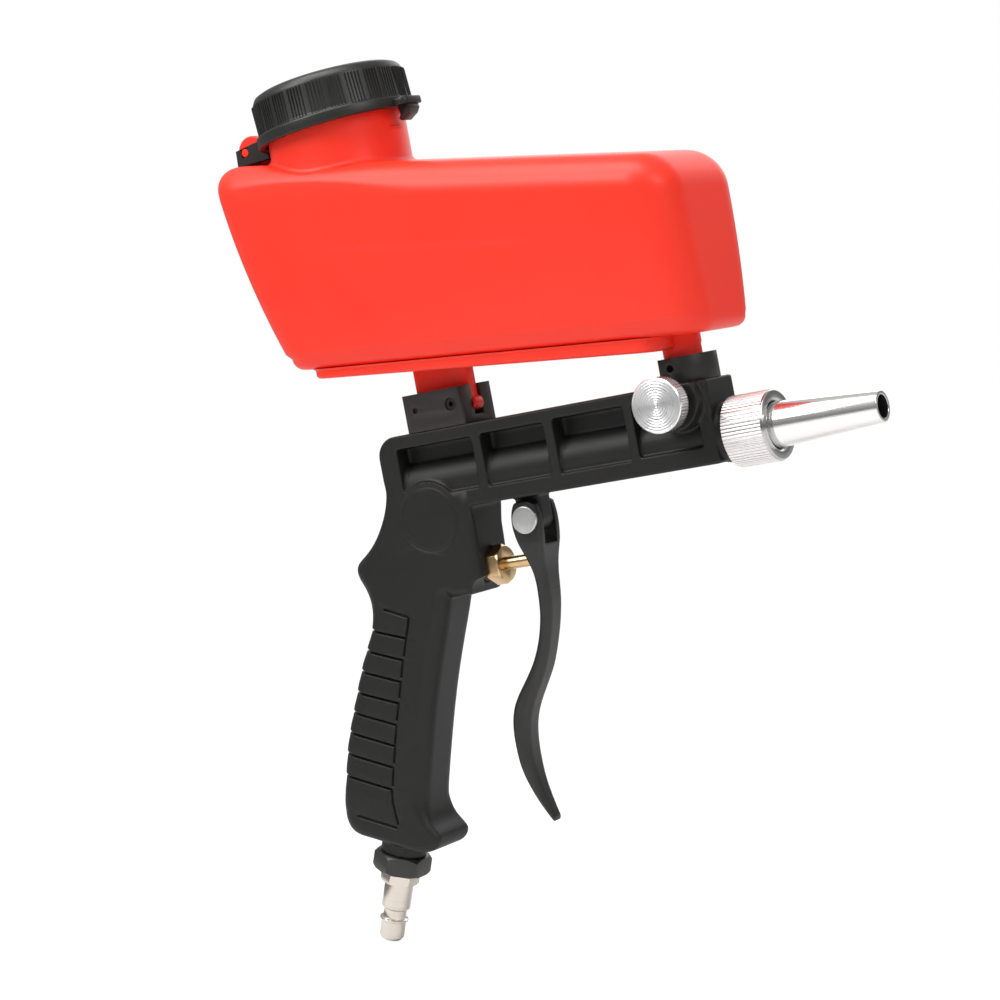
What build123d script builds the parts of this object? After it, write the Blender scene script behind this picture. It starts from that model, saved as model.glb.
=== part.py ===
from build123d import *

import math
import os

# A hand-held gravity-feed abrasive blast gun.
# Frame: origin at the centre of the nozzle mouth, +X along the blast, +Z up, millimetres.

# --- driving dimensions -------------------------------------------------------------
BODY_HALF = 12.5          # half the width of the barrel frame
GRIP_HALF = 13.0          # half the width of the grip
RAIL_TOP = 22.8           # upper face of the top rail
RAIL_LOW = -10.8          # lower face of the bottom rail
WEB_HALF = 3.5            # half the thickness of the web between the rails
BODY_FRONT = -67.2        # front face of the barrel frame
BODY_REAR = -223.9        # back of the barrel frame
TUBE_R = 10.8             # round spine of the barrel frame
FEED_X = -80.8            # centre of the abrasive port under the hopper
SPINDLE_Z = 16.0          # axis of the metering spindle
SPINDLE_R = 5.5
RING_LOW = -13.0          # groove for the spindle's sealing ring
RING_HIGH = -11.4
RING_SEAT = 4.4
KNOB_R = 11.0
KNOB_FACE = -30.0         # outer face of the knob, on the -Y side
KNOB_THICK = 7.2
BOSS_R = 11.8             # round boss behind the knob
BOSS_FACE = -18.0

NOZZLE_TIP_R = 6.18
NOZZLE_BASE_R = 9.1
MOUTH_R = 4.6
THROAT_R = 3.0
NUT_FRONT = -45.0
NUT_REAR = -64.3
NUT_R = 14.3
SPIGOT_FRONT = -52.0
SPIGOT_R = 11.6

PIVOT_X = -161.5          # trigger pin
PIVOT_Z = -20.2
PIN_R = 2.5
RUNNING = 0.05            # radial clearance where one piece turns or slides in another
EAR_HALF = 8.5            # half the width of the trigger's fork
SLOT_HALF = 5.0
LUG_HALF = 4.6
BLADE_HALF = 6.0

VALVE_Z = -37.0           # axis of the air valve, along X
STEM_R = 2.7
STEM_END = -163.8
POCKET_X = -163.5         # flat that the stem's end bears on
GLAND_FACE = -179.3
GLAND_SEAT = -183.8
GLAND_END = -199.0
GLAND_R = 6.0
CHAMBER_R = 5.2
CHAMBER_END = -233.0
SEAT_X = -204.0

RAKE = 22.0               # lean of the air inlet from the vertical, degrees
INLET = (-256.8, 0.0, -151.5)   # top of the lock nut, on the inlet's axis
INLET_NUT_AF = 21.5
INLET_NUT_H = 8.2
PLUG_AF = 14.5
PLUG_R = 6.2

BRACKET_REAR = -207.2
BRACKET_FRONT = -178.7
BRACKET_TOP = 38.4
BRACKET_SLOT = 3.5
SOCKET_R = 13.2
SOCKET_BACK = -86.2          # flat back of the collar
SOCKET_TOP = 33.2
SPOUT_R = 7.8
SPOUT_BORE = 5.2

WALL = 2.4                # hopper wall
HOPPER_FRONT = -58.2
HOPPER_REAR_TOP = -273.4
HOPPER_REAR_LOW = -254.6
HOPPER_REAR_MID = -266.8   # the rear wall swells between its top and bottom
TOP_HALF = 33.6           # half the hopper's width at its top
LOW_HALF = 25.4           # and at its bottom edge
TOP_SLOPE = 9.7           # fall of the top towards the nozzle, degrees
LOW_SLOPE = 5.0
MID_SLOPE = 7.36          # slope of a line half way up
NECK_X = -222.0
NECK_R = 29.2
LID_X = -220.9            # centre of the lid's lower edge
LID_LEAN = 5.2            # the lid leans back on the neck's sloping rim, degrees
RIM = 163.4               # height of the neck's rim at the lid's axis, before the lean
LID_LOW = 152.6
LID_TOP = 174.6
LID_R = 33.0
LID_FLANGE_R = 34.4
LID_BORE = 31.2
HINGE_X = -264.2          # lid hinge
HINGE_Z = 152.1
HINGE_PIN_R = 1.8
LUG_R = 7.0

MID = (Align.CENTER, Align.CENTER, Align.MIN)


# --- small helpers ------------------------------------------------------------------
def rod(start, end, radius):
    """A solid cylinder between two points."""
    start = Vector(*start)
    along = Vector(*end) - start
    return Plane(origin=start, z_dir=along) * Cylinder(radius, along.length, align=MID)


def rod_x(x_low, x_high, radius, y=0.0, z=0.0):
    return rod((x_low, y, z), (x_high, y, z), radius)


def rod_y(y_low, y_high, radius, x, z):
    return rod((x, y_low, z), (x, y_high, z), radius)


def rod_z(z_low, z_high, radius, x, y=0.0):
    return rod((x, y, z_low), (x, y, z_high), radius)


def block(x_low, x_high, y_low, y_high, z_low, z_high):
    """A box between two corners."""
    size = (x_high - x_low, y_high - y_low, z_high - z_low)
    centre = ((x_low + x_high) / 2, (y_low + y_high) / 2, (z_low + z_high) / 2)
    return Pos(*centre) * Box(*size)


def side_slab(edges, y_low, y_high):
    """An outline drawn in X and Z, given its thickness along Y."""
    face = Plane.XZ * make_face(edges)
    return Pos(0, y_high, 0) * extrude(face, amount=y_high - y_low)


def outer_edges(shape, half):
    """The edges that bound the two side faces at +half and -half."""
    flat = [f for f in shape.faces() if abs(abs(f.center().Y) - half) < 1e-3]
    return ShapeList([e for f in flat for e in f.outer_wire().edges()])


def turned(profile, axis_plane):
    """A solid of revolution: (distance along the axis, radius) pairs about the plane's X axis."""
    points = [(profile[0][0], 0.0), *profile, (profile[-1][0], 0.0)]
    face = axis_plane * make_face(Polyline(*points, close=True))
    return revolve(face, Axis(axis_plane.origin, axis_plane.x_dir))


def hexagon_prism(plane, across_flats, height):
    """A hexagonal prism that rises from the plane."""
    sketch = plane * RegularPolygon(across_flats / 2, 6, major_radius=False)
    return extrude(sketch, amount=height)


def inlet_point(distance):
    """A point on the raked inlet axis, measured down from the top of the lock nut."""
    lean = math.radians(RAKE)
    return Vector(*INLET) + Vector(-math.sin(lean), 0, -math.cos(lean)) * distance


def inlet_plane(distance):
    """A plane across the inlet axis whose normal points down and out."""
    return Plane(origin=inlet_point(distance), x_dir=(0, 1, 0), z_dir=inlet_point(1) - inlet_point(0))


def inlet_axis_plane():
    """A plane that holds the inlet axis as its X axis."""
    down = inlet_point(1) - inlet_point(0)
    return Plane(origin=inlet_point(0), x_dir=down, z_dir=(0, 1, 0))


BARREL = Plane(origin=(0, 0, 0), x_dir=(1, 0, 0), z_dir=(0, 1, 0))
KNOB_AXIS = Plane(origin=(FEED_X, 0, SPINDLE_Z), x_dir=(0, -1, 0), z_dir=(1, 0, 0))
VALVE_AXIS = Plane(origin=(0, 0, VALVE_Z), x_dir=(1, 0, 0), z_dir=(0, 1, 0))
LID_AXIS = Plane(origin=(LID_X, 0, 0), x_dir=(0, 0, 1), z_dir=(0, 1, 0))


def leaned(shape):
    """Tips a shape that was drawn upright back by the lid's lean."""
    return Pos(LID_X, 0, LID_LOW) * Rot(0, -LID_LEAN, 0) * Pos(-LID_X, 0, -LID_LOW) * shape


def upright_hinge():
    """Where the hinge axis lies in the lid's upright drawing."""
    lean = math.radians(LID_LEAN)
    x, z = HINGE_X - LID_X, HINGE_Z - LID_LOW
    return LID_X + x * math.cos(lean) + z * math.sin(lean), LID_LOW - x * math.sin(lean) + z * math.cos(lean)


# --- gun body -----------------------------------------------------------------------
def grip_outline():
    """Grip and valve housing from the side: one smooth skin, then the straight edges at its top."""
    skin = Spline(
        (-204.0, -47.0), (-206.6, -54.0), (-215.2, -74.3), (-225.6, -102.4), (-232.3, -123.3), (-234.4, -133.0),
        (-232.6, -140.6), (-229.6, -146.2), (-232.0, -149.8), (-238.0, -151.3), (-252.0, -147.4), (-266.0, -142.2),
        (-273.0, -138.6), (-276.2, -132.0), (-274.4, -120.0), (-269.3, -102.8), (-260.6, -82.9), (-251.9, -65.4),
        (-245.2, -53.4), (-243.4, -45.4), (-244.8, -37.5), (-246.8, -32.0), (-246.2, -28.0), (-242.2, -24.6),
        (-236.0, -19.8), (-229.2, -11.4), (-224.6, -1.0), (BODY_REAR, 8.0),
    )
    top = Polyline((BODY_REAR, 8.0), (-184.0, 8.0), (-184.0, RAIL_LOW), (-185.2, -40.5))
    belly = RadiusArc((-185.2, -40.5), (-191.5, -47.0), -6.6)
    return [skin, top, belly, Line((-191.5, -47.0), (-204.0, -47.0))]


def beam():
    """The barrel frame: a rounded bar that is pocketed on both sides, round a central spine."""
    corner = 8.5
    outline = [
        Line((BODY_REAR, 0), (BODY_REAR, RAIL_TOP - corner)),
        RadiusArc((BODY_REAR, RAIL_TOP - corner), (BODY_REAR + corner, RAIL_TOP), corner),
        Polyline(
            (BODY_REAR + corner, RAIL_TOP), (BODY_FRONT, RAIL_TOP), (BODY_FRONT, RAIL_LOW),
            (-190.0, RAIL_LOW), (BODY_REAR, 0),
        ),
    ]
    bar = side_slab(outline, -BODY_HALF, BODY_HALF)
    front_edges = bar.edges().filter_by(Axis.Z).group_by(Axis.X)[-1]
    bar = fillet(front_edges, 2.0)
    return fillet(outer_edges(bar, BODY_HALF), 0.8)


def pockets():
    """Four windows on each side, which leave the rails, the ribs and the web."""
    spans = [(-214.6, -177.6, -3.8, 17.3), (-173.4, -143.0, -4.2, 17.6),
             (-138.6, -105.4, -4.2, 18.2), (-101.6, -73.0, -3.4, 18.4)]
    disc = rod_y(-20, 20, 15.4, -204.8, -13.2)
    cut = Part()
    for side in (-1, 1):
        y_low, y_high = sorted((side * WEB_HALF, side * 20))
        for x_low, x_high, z_low, z_high in spans:
            cut += block(x_low, x_high, y_low, y_high, z_low, z_high)
    return cut - disc


def gun_body():
    grip = side_slab(grip_outline(), -GRIP_HALF, GRIP_HALF)
    grip = fillet([e for e in outer_edges(grip, GRIP_HALF) if e.length > 100], 2.5)
    boss = rod_y(BOSS_FACE, 0, BOSS_R, FEED_X, SPINDLE_Z)
    boss &= block(-100, -60, BOSS_FACE, 0, 0, RAIL_TOP)
    lug = rod_y(-LUG_HALF, LUG_HALF, 5.8, PIVOT_X, PIVOT_Z)
    lug += block(PIVOT_X - 5.8, PIVOT_X + 5.8, -LUG_HALF, LUG_HALF, PIVOT_Z, RAIL_LOW + 1)
    inlet_boss = rod(inlet_point(-9), inlet_point(0), 9.8)
    body = beam() + grip - pockets() + rod_x(-218, -69, TUBE_R) + lug + inlet_boss + boss
    body += rod_x(BODY_FRONT - 1, SPIGOT_FRONT, SPIGOT_R)
    # bores for the air, the valve, the spindle and the abrasive
    body -= rod_x(-206, BODY_FRONT, 4.0)
    body -= rod_x(-100, SPIGOT_FRONT, 7.0)
    body -= rod_z(0, RAIL_TOP, 4.2, FEED_X)
    body -= rod_y(BOSS_FACE, 9.0, SPINDLE_R + RUNNING, FEED_X, SPINDLE_Z)
    body -= rod_x(GLAND_END, -180, GLAND_R, z=VALVE_Z) + rod_x(GLAND_SEAT - 1.6, -180, 8.6, z=VALVE_Z)
    body -= rod_x(CHAMBER_END, GLAND_END, CHAMBER_R, z=VALVE_Z)
    body -= rod((-201.5, 0, VALVE_Z), (-201.5, 0, 0), 2.3)
    body -= rod(inlet_point(-122), inlet_point(-14), 3.6)
    body -= rod(inlet_point(-14), inlet_point(0), 6.6)
    body -= rod_y(-20, 20, PIN_R + RUNNING, PIVOT_X, PIVOT_Z)
    body -= rod_z(RAIL_TOP - 4, RAIL_TOP, 1.25, -189.0)
    return body - rod_z(RAIL_TOP - 4, RAIL_TOP, 1.25, -197.0)


# --- barrel line: air tube, jet, mixing liner, nozzle, nut -----------------------------
def air_tube():
    return rod_x(-205.5, -100.5, 4.0) - rod_x(-206, -100, 2.6) - rod_z(-10, 0, 2.3, -201.5)


def air_jet():
    """Brass jet that blows across the foot of the abrasive port."""
    profile = [(-100, 7.0), (-91, 7.0), (-89, 4.0), (-72, 2.6)]
    return turned(profile, BARREL) - rod_x(-100.5, -84, 2.4) - rod_x(-84, -71, 1.3)


def mixing_liner():
    """Steel sleeve at the front of the mixing chamber, behind the nozzle."""
    sleeve = rod_x(-72, SPIGOT_FRONT, 7.0)
    return sleeve - turned([(-72, 5.6), (-64, 4.2), (SPIGOT_FRONT, 4.2)], BARREL)


def nozzle():
    """Tapered nozzle with a flange that the nut traps against the spigot."""
    outside = [(-51.6, 10.6), (-48.4, 10.6), (-48.4, NOZZLE_BASE_R), (-43.0, NOZZLE_BASE_R), (0, NOZZLE_TIP_R)]
    inside = [(-51.6, 4.4), (-30, THROAT_R), (-16, THROAT_R), (-5, MOUTH_R - 0.2), (-5, MOUTH_R), (0, MOUTH_R)]
    return turned(outside, BARREL) - turned(inside, BARREL)


def nozzle_gasket():
    return rod_x(-52.0, -51.6, 10.4) - rod_x(-52.0, -51.6, 4.6)


def nozzle_nut():
    outside = [(NUT_REAR, NUT_R - 1.2), (NUT_REAR + 1.2, NUT_R), (NUT_FRONT - 0.5, NUT_R), (NUT_FRONT, NUT_R - 0.5)]
    inside = [(NUT_REAR, SPIGOT_R + 0.06), (-48.1, SPIGOT_R + 0.06), (-48.1, 9.5), (NUT_FRONT - 0.8, 9.5),
              (NUT_FRONT, 10.6)]
    return turned(outside, BARREL) - turned(inside, BARREL)


# --- metering spindle and knob ----------------------------------------------------------
def spindle():
    """Turning plug with a cross hole: open with the hole upright, shut a quarter turn on."""
    core = rod_y(BOSS_FACE - 4.8, 8.7, SPINDLE_R, FEED_X, SPINDLE_Z) - rod_z(0, 40, 4.1, FEED_X)
    groove = rod_y(RING_LOW, RING_HIGH, SPINDLE_R + 1, FEED_X, SPINDLE_Z)
    return core - (groove - rod_y(RING_LOW, RING_HIGH, RING_SEAT, FEED_X, SPINDLE_Z))


def spindle_ring():
    ring = rod_y(RING_LOW, RING_HIGH, SPINDLE_R, FEED_X, SPINDLE_Z)
    return ring - rod_y(RING_LOW, RING_HIGH, RING_SEAT, FEED_X, SPINDLE_Z)


def flow_knob():
    back = -(KNOB_FACE + KNOB_THICK)
    profile = [(back, KNOB_R - 0.5), (back + 0.5, KNOB_R), (-KNOB_FACE - 0.6, KNOB_R), (-KNOB_FACE, KNOB_R - 0.6)]
    knob = turned(profile, KNOB_AXIS)
    knob -= rod_z(SPINDLE_Z, SPINDLE_Z + 20, 1.25, FEED_X, y=-25.0)
    return knob


def knob_set_screw():
    screw = rod_z(SPINDLE_Z + 2.0, SPINDLE_Z + 9.0, 1.25, FEED_X, y=-25.0)
    socket = Plane((FEED_X, -25.0, SPINDLE_Z + 9.0), z_dir=(0, 0, -1))
    return screw - hexagon_prism(socket, 1.3, 2.0)


# --- trigger ---------------------------------------------------------------------------
def trigger_outline():
    rear = Spline(
        (-166.6, -13.2), (-168.7, -18.4), (-168.6, -26.3), (-166.6, -33.6), (-164.7, -41.0), (-164.6, -50.0),
        (-165.7, -58.8), (-168.6, -69.1), (-174.3, -80.0), (-181.5, -88.9), (-186.2, -95.6), (-188.6, -102.8),
        (-189.3, -113.2), (-188.1, -124.5), (-184.6, -134.6), (-179.8, -143.6),
    )
    tip = Spline((-179.8, -143.6), (-178.4, -145.2), (-177.6, -143.2), tangents=[(0.5, -0.9), (-0.1, 1)])
    front = Spline(
        (-177.6, -143.2), (-180.4, -132.3), (-182.0, -121.6), (-181.8, -111.1), (-180.0, -102.2), (-176.0, -94.2),
        (-168.5, -82.5), (-163.4, -70.6), (-160.0, -59.2), (-158.6, -48.0), (-157.8, -38.0), (-156.3, -31.0),
        (-155.4, -23.6), (-156.2, -14.4),
    )
    crown = RadiusArc((-156.2, -14.4), (-166.6, -13.2), -9.2)
    return [rear, tip, front, crown]


def trigger():
    """A forked lever: two ears round the pin, a pocket for the valve stem and a curved blade."""
    profile = side_slab(trigger_outline(), -EAR_HALF, EAR_HALF)
    taper = [(-30, EAR_HALF), (-44, 7.0), (-60, BLADE_HALF), (-120, 5.4), (-146, 3.4), (-147, 3.4)]
    shape = [(EAR_HALF, 0), *[(half, z) for z, half in taper]]
    mirrored = [(-half, z) for half, z in reversed(shape)]
    front_view = make_face(Polyline(*shape, *mirrored, close=True))
    envelope = Pos(-200, 0, 0) * extrude(Plane.YZ * front_view, amount=60)
    lever = profile & envelope
    lever -= block(-175, -150, -SLOT_HALF, SLOT_HALF, -29.0, 0)
    lever -= rod_y(-SLOT_HALF, SLOT_HALF, SLOT_HALF + 2.6, PIVOT_X, -25.5)
    lever -= block(-175, POCKET_X, -3.8, 3.8, -43.0, -32.0)
    return lever - rod_y(-20, 20, PIN_R, PIVOT_X, PIVOT_Z)


def trigger_pin():
    """Headed pin, riveted over on the far side; it turns with the trigger."""
    shank = rod_y(-EAR_HALF - 0.2, EAR_HALF + 0.2, PIN_R, PIVOT_X, PIVOT_Z)
    head = rod_y(-EAR_HALF - 1.5, -EAR_HALF, 5.7, PIVOT_X, PIVOT_Z)
    head = fillet(head.faces().sort_by(Axis.Y)[0].edges(), 0.5)
    return shank + head


def pin_washer():
    washer = rod_y(EAR_HALF, EAR_HALF + 0.8, 5.0, PIVOT_X, PIVOT_Z)
    return washer - rod_y(EAR_HALF, EAR_HALF + 0.8, PIN_R, PIVOT_X, PIVOT_Z)


def pin_rivet():
    """The peened end that holds the washer on the pin."""
    return rod_y(EAR_HALF + 0.8, EAR_HALF + 1.9, 3.6, PIVOT_X, PIVOT_Z)


# --- air valve -------------------------------------------------------------------------
def valve_gland():
    flange = Plane((GLAND_SEAT - 1.6, 0, VALVE_Z), x_dir=(0, 0, 1), z_dir=(1, 0, 0))
    body = hexagon_prism(flange, 14.5, GLAND_FACE - GLAND_SEAT + 1.6)
    body &= turned([(-200, 7.3), (GLAND_SEAT, 8.4), (GLAND_FACE - 1.2, 8.4), (GLAND_FACE, 7.3)], VALVE_AXIS)
    body += rod_x(GLAND_END, GLAND_FACE - 1, GLAND_R, z=VALVE_Z)
    body -= rod_x(-200, -170, STEM_R + RUNNING, z=VALVE_Z)
    return body - rod_x(-195.0, -193.0, 4.6, z=VALVE_Z)


def valve_stem():
    """Brass push rod with a rounded end and a thinner neck that carries the poppet."""
    outside = [(-212.0, 1.5), (-206.0, 1.5), (-206.0, STEM_R), (STEM_END - 1.2, STEM_R), (STEM_END - 0.3, 1.7),
               (STEM_END, 0.8)]
    return turned(outside, VALVE_AXIS)


def stem_ring():
    return Plane((-194.0, 0, VALVE_Z), z_dir=(1, 0, 0)) * Torus(3.68, 0.88)


def valve_seat():
    return rod_x(SEAT_X - 1.8, SEAT_X, CHAMBER_R, z=VALVE_Z) - rod_x(SEAT_X - 2, SEAT_X + 1, 3.3, z=VALVE_Z)


def valve_poppet():
    """Rubber-faced disc that the spring holds against the seat."""
    disc = rod_x(-209.2, SEAT_X - 2.05, 4.4, z=VALVE_Z)
    return disc - rod_x(-209.2, -206.0, 1.5, z=VALVE_Z) - rod_x(-206.0, SEAT_X, STEM_R, z=VALVE_Z)


def valve_spring():
    """Compression spring between the poppet and the end of the chamber."""
    height = 22.0
    coil = Helix(pitch=3.1, height=height, radius=3.4)
    wire = Plane(origin=coil @ 0, z_dir=coil % 0) * Circle(0.4)
    spring = sweep(wire, path=coil, is_frenet=True)
    return Plane((-232.0, 0, VALVE_Z), x_dir=(0, 1, 0), z_dir=(1, 0, 0)) * spring


# --- air inlet -------------------------------------------------------------------------
def inlet_nut():
    prism = hexagon_prism(inlet_plane(0), INLET_NUT_AF, INLET_NUT_H)
    cone = [(0, 10.6), (1.6, 12.6), (INLET_NUT_H - 1.2, 12.6), (INLET_NUT_H, 11.2)]
    prism &= turned(cone, inlet_axis_plane())
    stem = rod(inlet_point(-12), inlet_point(0), 6.6)
    return prism + stem - rod(inlet_point(-13), inlet_point(9), 4.4)


def quick_plug():
    """Nickel-plated plug for a quick-release coupling."""
    s_hex = INLET_NUT_H + 0.4
    prism = hexagon_prism(inlet_plane(s_hex), PLUG_AF, 5.0)
    prism &= turned([(s_hex, 7.6), (s_hex + 0.6, 8.3), (s_hex + 4.4, 8.3), (s_hex + 5.0, 7.6)], inlet_axis_plane())
    profile = [
        (s_hex + 4, PLUG_R - 0.2), (13.8, PLUG_R), (24.7, PLUG_R), (25.7, 4.95), (29.4, 4.95), (30.0, 6.1),
        (30.6, 6.1), (31.2, 5.3), (37.9, 5.3), (39.4, 4.2),
    ]
    plug = prism + turned(profile, inlet_axis_plane()) + rod(inlet_point(-9), inlet_point(s_hex + 1), 4.4)
    return plug - rod(inlet_point(-10), inlet_point(40), 2.7)


def plug_seal():
    ring = rod(inlet_point(INLET_NUT_H), inlet_point(INLET_NUT_H + 0.4), 6.4)
    return ring - rod(inlet_point(INLET_NUT_H), inlet_point(INLET_NUT_H + 0.4), 4.4)


# --- hopper and its mounts -------------------------------------------------------------
def rear_bracket():
    base = block(BRACKET_REAR, BRACKET_FRONT, -BODY_HALF, BODY_HALF, RAIL_TOP, BRACKET_TOP)
    base = chamfer(base.edges().filter_by(Axis.Z), 0.8)
    base -= block(BRACKET_REAR + 1.5, BRACKET_FRONT + 5, -BRACKET_SLOT, BRACKET_SLOT, RAIL_TOP + 3.0, 60)
    base -= rod_y(-20, 20, 1.5, -184.2, 31.7) + rod_y(-20, -11.0, 2.7, -184.2, 31.7)
    base -= rod_y(-20, 20, 1.2, -201.5, 31.6)
    for x in (-189.0, -197.0):
        base -= rod_z(RAIL_TOP, 30, 1.25, x)
    return base


def bracket_base_screws():
    """Two pan-head screws that hold the bracket down, inside its slot."""
    screws = Part()
    for x in (-189.0, -197.0):
        screws += rod_z(RAIL_TOP - 3.8, RAIL_TOP + 3.0, 1.25, x) + rod_z(RAIL_TOP + 3.0, RAIL_TOP + 4.4, 2.4, x)
    return screws


def clamp_screw():
    """Cross screw through the bracket and the hopper's tab."""
    screw = rod_y(-11.0, 12.0, 1.5, -184.2, 31.7) + rod_y(-11.8, -11.0, 2.6, -184.2, 31.7)
    socket = Plane((-184.2, -11.8, 31.7), z_dir=(0, 1, 0))
    return screw - hexagon_prism(socket, 2.0, 1.6)


def bracket_dowel():
    return rod_y(-11.6, 11.6, 1.2, -201.5, 31.6)


def hopper_socket():
    """Collar over the abrasive port: flat at the back, round at the front."""
    base = rod_z(RAIL_TOP, SOCKET_TOP, SOCKET_R, FEED_X)
    base += block(SOCKET_BACK, FEED_X, -SOCKET_R, SOCKET_R, RAIL_TOP, SOCKET_TOP)
    base &= block(SOCKET_BACK, FEED_X + 20, -20, 20, RAIL_TOP, SOCKET_TOP)
    base = fillet(base.edges().filter_by(Axis.Z).group_by(Axis.X)[0], 1.5)
    base -= rod_z(RAIL_TOP, RAIL_TOP + 2.0, 4.2, FEED_X) + rod_z(RAIL_TOP + 2.0, 50, SPOUT_R, FEED_X)
    return base - rod_y(-20, -SPOUT_R + 1, 1.5, FEED_X, 29.0)


def socket_set_screw():
    screw = rod_y(-10.8, -SPOUT_R - 0.1, 1.5, FEED_X, 29.0)
    socket = Plane((FEED_X, -10.8, 29.0), z_dir=(0, 1, 0))
    return screw - hexagon_prism(socket, 1.5, 1.6)


def spout_seal():
    """Rubber ring under the end of the hopper's spout."""
    return rod_z(RAIL_TOP + 2.0, RAIL_TOP + 3.2, SPOUT_R, FEED_X) - rod_z(RAIL_TOP + 2.0, RAIL_TOP + 3.2, 4.4, FEED_X)


def top_z(x):
    """Height of the hopper's sloping top."""
    return 144.4 - math.tan(math.radians(TOP_SLOPE)) * (x + 265.0)


def low_z(x):
    """Height of the edge where the hopper's sides end."""
    return 57.2 - math.tan(math.radians(LOW_SLOPE)) * (x + 250.0)


def hopper_loft(inset, top_drop, low_rise):
    """A box with leaning walls: inset moves the walls in, the others move its top and bottom."""
    def mid_z(x):
        return (low_z(x) + top_z(x)) / 2

    sections = []
    levels = [(low_z, low_rise, LOW_SLOPE, HOPPER_REAR_LOW, 0.0, LOW_HALF, 12.0),
              (mid_z, 0.0, MID_SLOPE, HOPPER_REAR_MID, 0.8, (LOW_HALF + TOP_HALF) / 2 + 0.6, 13.0),
              (top_z, -top_drop, TOP_SLOPE, HOPPER_REAR_TOP, 0.0, TOP_HALF, 14.0)]
    for height, shift, slope, rear, swell, half, corner in levels:
        front = HOPPER_FRONT + swell
        length = (front - rear - 2 * inset) / math.cos(math.radians(slope))
        middle = (front + rear) / 2
        plane = Plane(
            origin=(middle, 0, height(middle) + shift), x_dir=(1, 0, -math.tan(math.radians(slope))),
            z_dir=(math.tan(math.radians(slope)), 0, 1),
        )
        sections.append(plane * RectangleRounded(length, 2 * (half - inset), corner - inset))
    return loft(sections)


def plinth(inset, depth, rise):
    """The narrower step under the hopper."""
    x_low, x_high = -243.6 + inset, -80.0 - inset
    middle = (x_low + x_high) / 2
    tilt = math.tan(math.radians(LOW_SLOPE + 0.6))
    plane = Plane(origin=(middle, 0, low_z(middle) - depth), x_dir=(1, 0, -tilt), z_dir=(tilt, 0, 1))
    sketch = plane * RectangleRounded(x_high - x_low, 2 * (LOW_HALF - 2.4 - inset), 9.0 - inset)
    return extrude(sketch, amount=depth + rise)


def hopper():
    outer = hopper_loft(0, 0, 0)
    outer = fillet(outer.faces().sort_by(Axis.Z)[-1].edges(), 8.0)
    outer = fillet(outer.faces().sort_by(Axis.Z)[0].edges(), 4.0)
    outer += plinth(0, 5.0, 3.0)
    over_rim = leaned(block(-300, -150, -50, 50, RIM, RIM + 30))
    outer += rod_z(120, 172, NECK_R, NECK_X) - over_rim
    outer += rod_z(147.6, 149.0, NECK_R + 0.9, NECK_X) & block(-200, -185, -8, 8, 147.0, 150.0)
    outer += rod_z(RAIL_TOP + 3.2, 45, SPOUT_R, FEED_X)
    tab = block(-205.3, -176.6, -3.2, 3.2, RAIL_TOP + 4.6, 52)
    outer += fillet(tab.edges().filter_by(Axis.Y).group_by(Axis.Z)[0], 3.0)
    lug = rod_y(-3.2, 3.2, LUG_R, HINGE_X, HINGE_Z) + block(HINGE_X - LUG_R, HINGE_X + LUG_R, -3.2, 3.2, 138, HINGE_Z)
    outer += lug + rod_y(-8.4, 8.4, HINGE_PIN_R, HINGE_X, HINGE_Z)
    inner = hopper_loft(WALL, WALL, WALL) + plinth(WALL, 5.0 - WALL, 5.0)
    inner += rod_z(130, 175, NECK_R - WALL, NECK_X) + rod_z(20, 48, SPOUT_BORE, FEED_X)
    shell = outer - inner
    shell -= rod_y(-20, 20, 1.5, -184.2, 31.7) + rod_y(-20, 20, 1.2, -201.5, 31.6)
    for x in (-189.0, -197.0):
        shell -= rod_z(20, RAIL_TOP + 5.0, 2.6, x)
    return shell


def lid():
    """Fluted cap with a flat rim, a thumb tab and catch in front and a hinge yoke behind."""
    outside = [(LID_LOW, LID_FLANGE_R), (157.2, LID_FLANGE_R), (157.4, LID_R + 0.2), (170.8, LID_R - 0.4),
               (173.0, LID_R - 1.4), (LID_TOP, LID_R - 4.6)]
    cap = turned(outside, LID_AXIS)
    cap -= rod_z(LID_LOW, LID_TOP - 2.4, LID_BORE, LID_X)
    tab = block(LID_X + LID_BORE + 1.2, -181.4, -7.0, 7.0, 152.8, 155.8)
    tab = fillet(tab.edges().filter_by(Axis.Z).group_by(Axis.X)[-1], 2.5)
    catch = side_slab([Polyline((-188.2, 154.2), (-182.8, 154.2), (-182.0, 151.0), (-183.6, 148.9),
                                (-187.8, 146.8), (-188.6, 147.8), (-187.4, 149.4), close=True)], -4.0, 4.0)
    hinge_x, hinge_z = upright_hinge()
    arm = [Polyline((-269.2, 151.2), (-252.6, 150.2), (-252.6, 158.6), (-256.7, 158.6), (-268.3, 157.8), close=True)]
    yoke = side_slab(arm, -8.6, 8.6)
    yoke -= block(-275, -256.6, -3.6, 3.6, 140, 170)
    yoke -= rod_z(140, 170, LID_BORE, LID_X)
    hole = HINGE_PIN_R + RUNNING
    yoke -= block(hinge_x - hole, hinge_x + hole, -10, 10, hinge_z - hole, hinge_z + hole)
    return leaned(cap + tab + catch + yoke)


def lid_gasket():
    """Rubber ring inside the lid, just over the neck's rim."""
    ring = rod_z(RIM + 0.3, RIM + 2.3, LID_BORE, LID_X)
    return leaned(ring - rod_z(RIM + 0.3, RIM + 2.3, 25.5, LID_X))


def lid_insert():
    """Inner disc that backs the gasket inside the lid."""
    disc = rod_z(RIM + 2.3, RIM + 4.0, LID_BORE, LID_X)
    rim = rod_z(RIM + 4.0, LID_TOP - 2.4, LID_BORE, LID_X)
    return leaned(disc + rim - rod_z(RIM + 4.0, LID_TOP - 2.4, LID_BORE - 1.6, LID_X))


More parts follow.
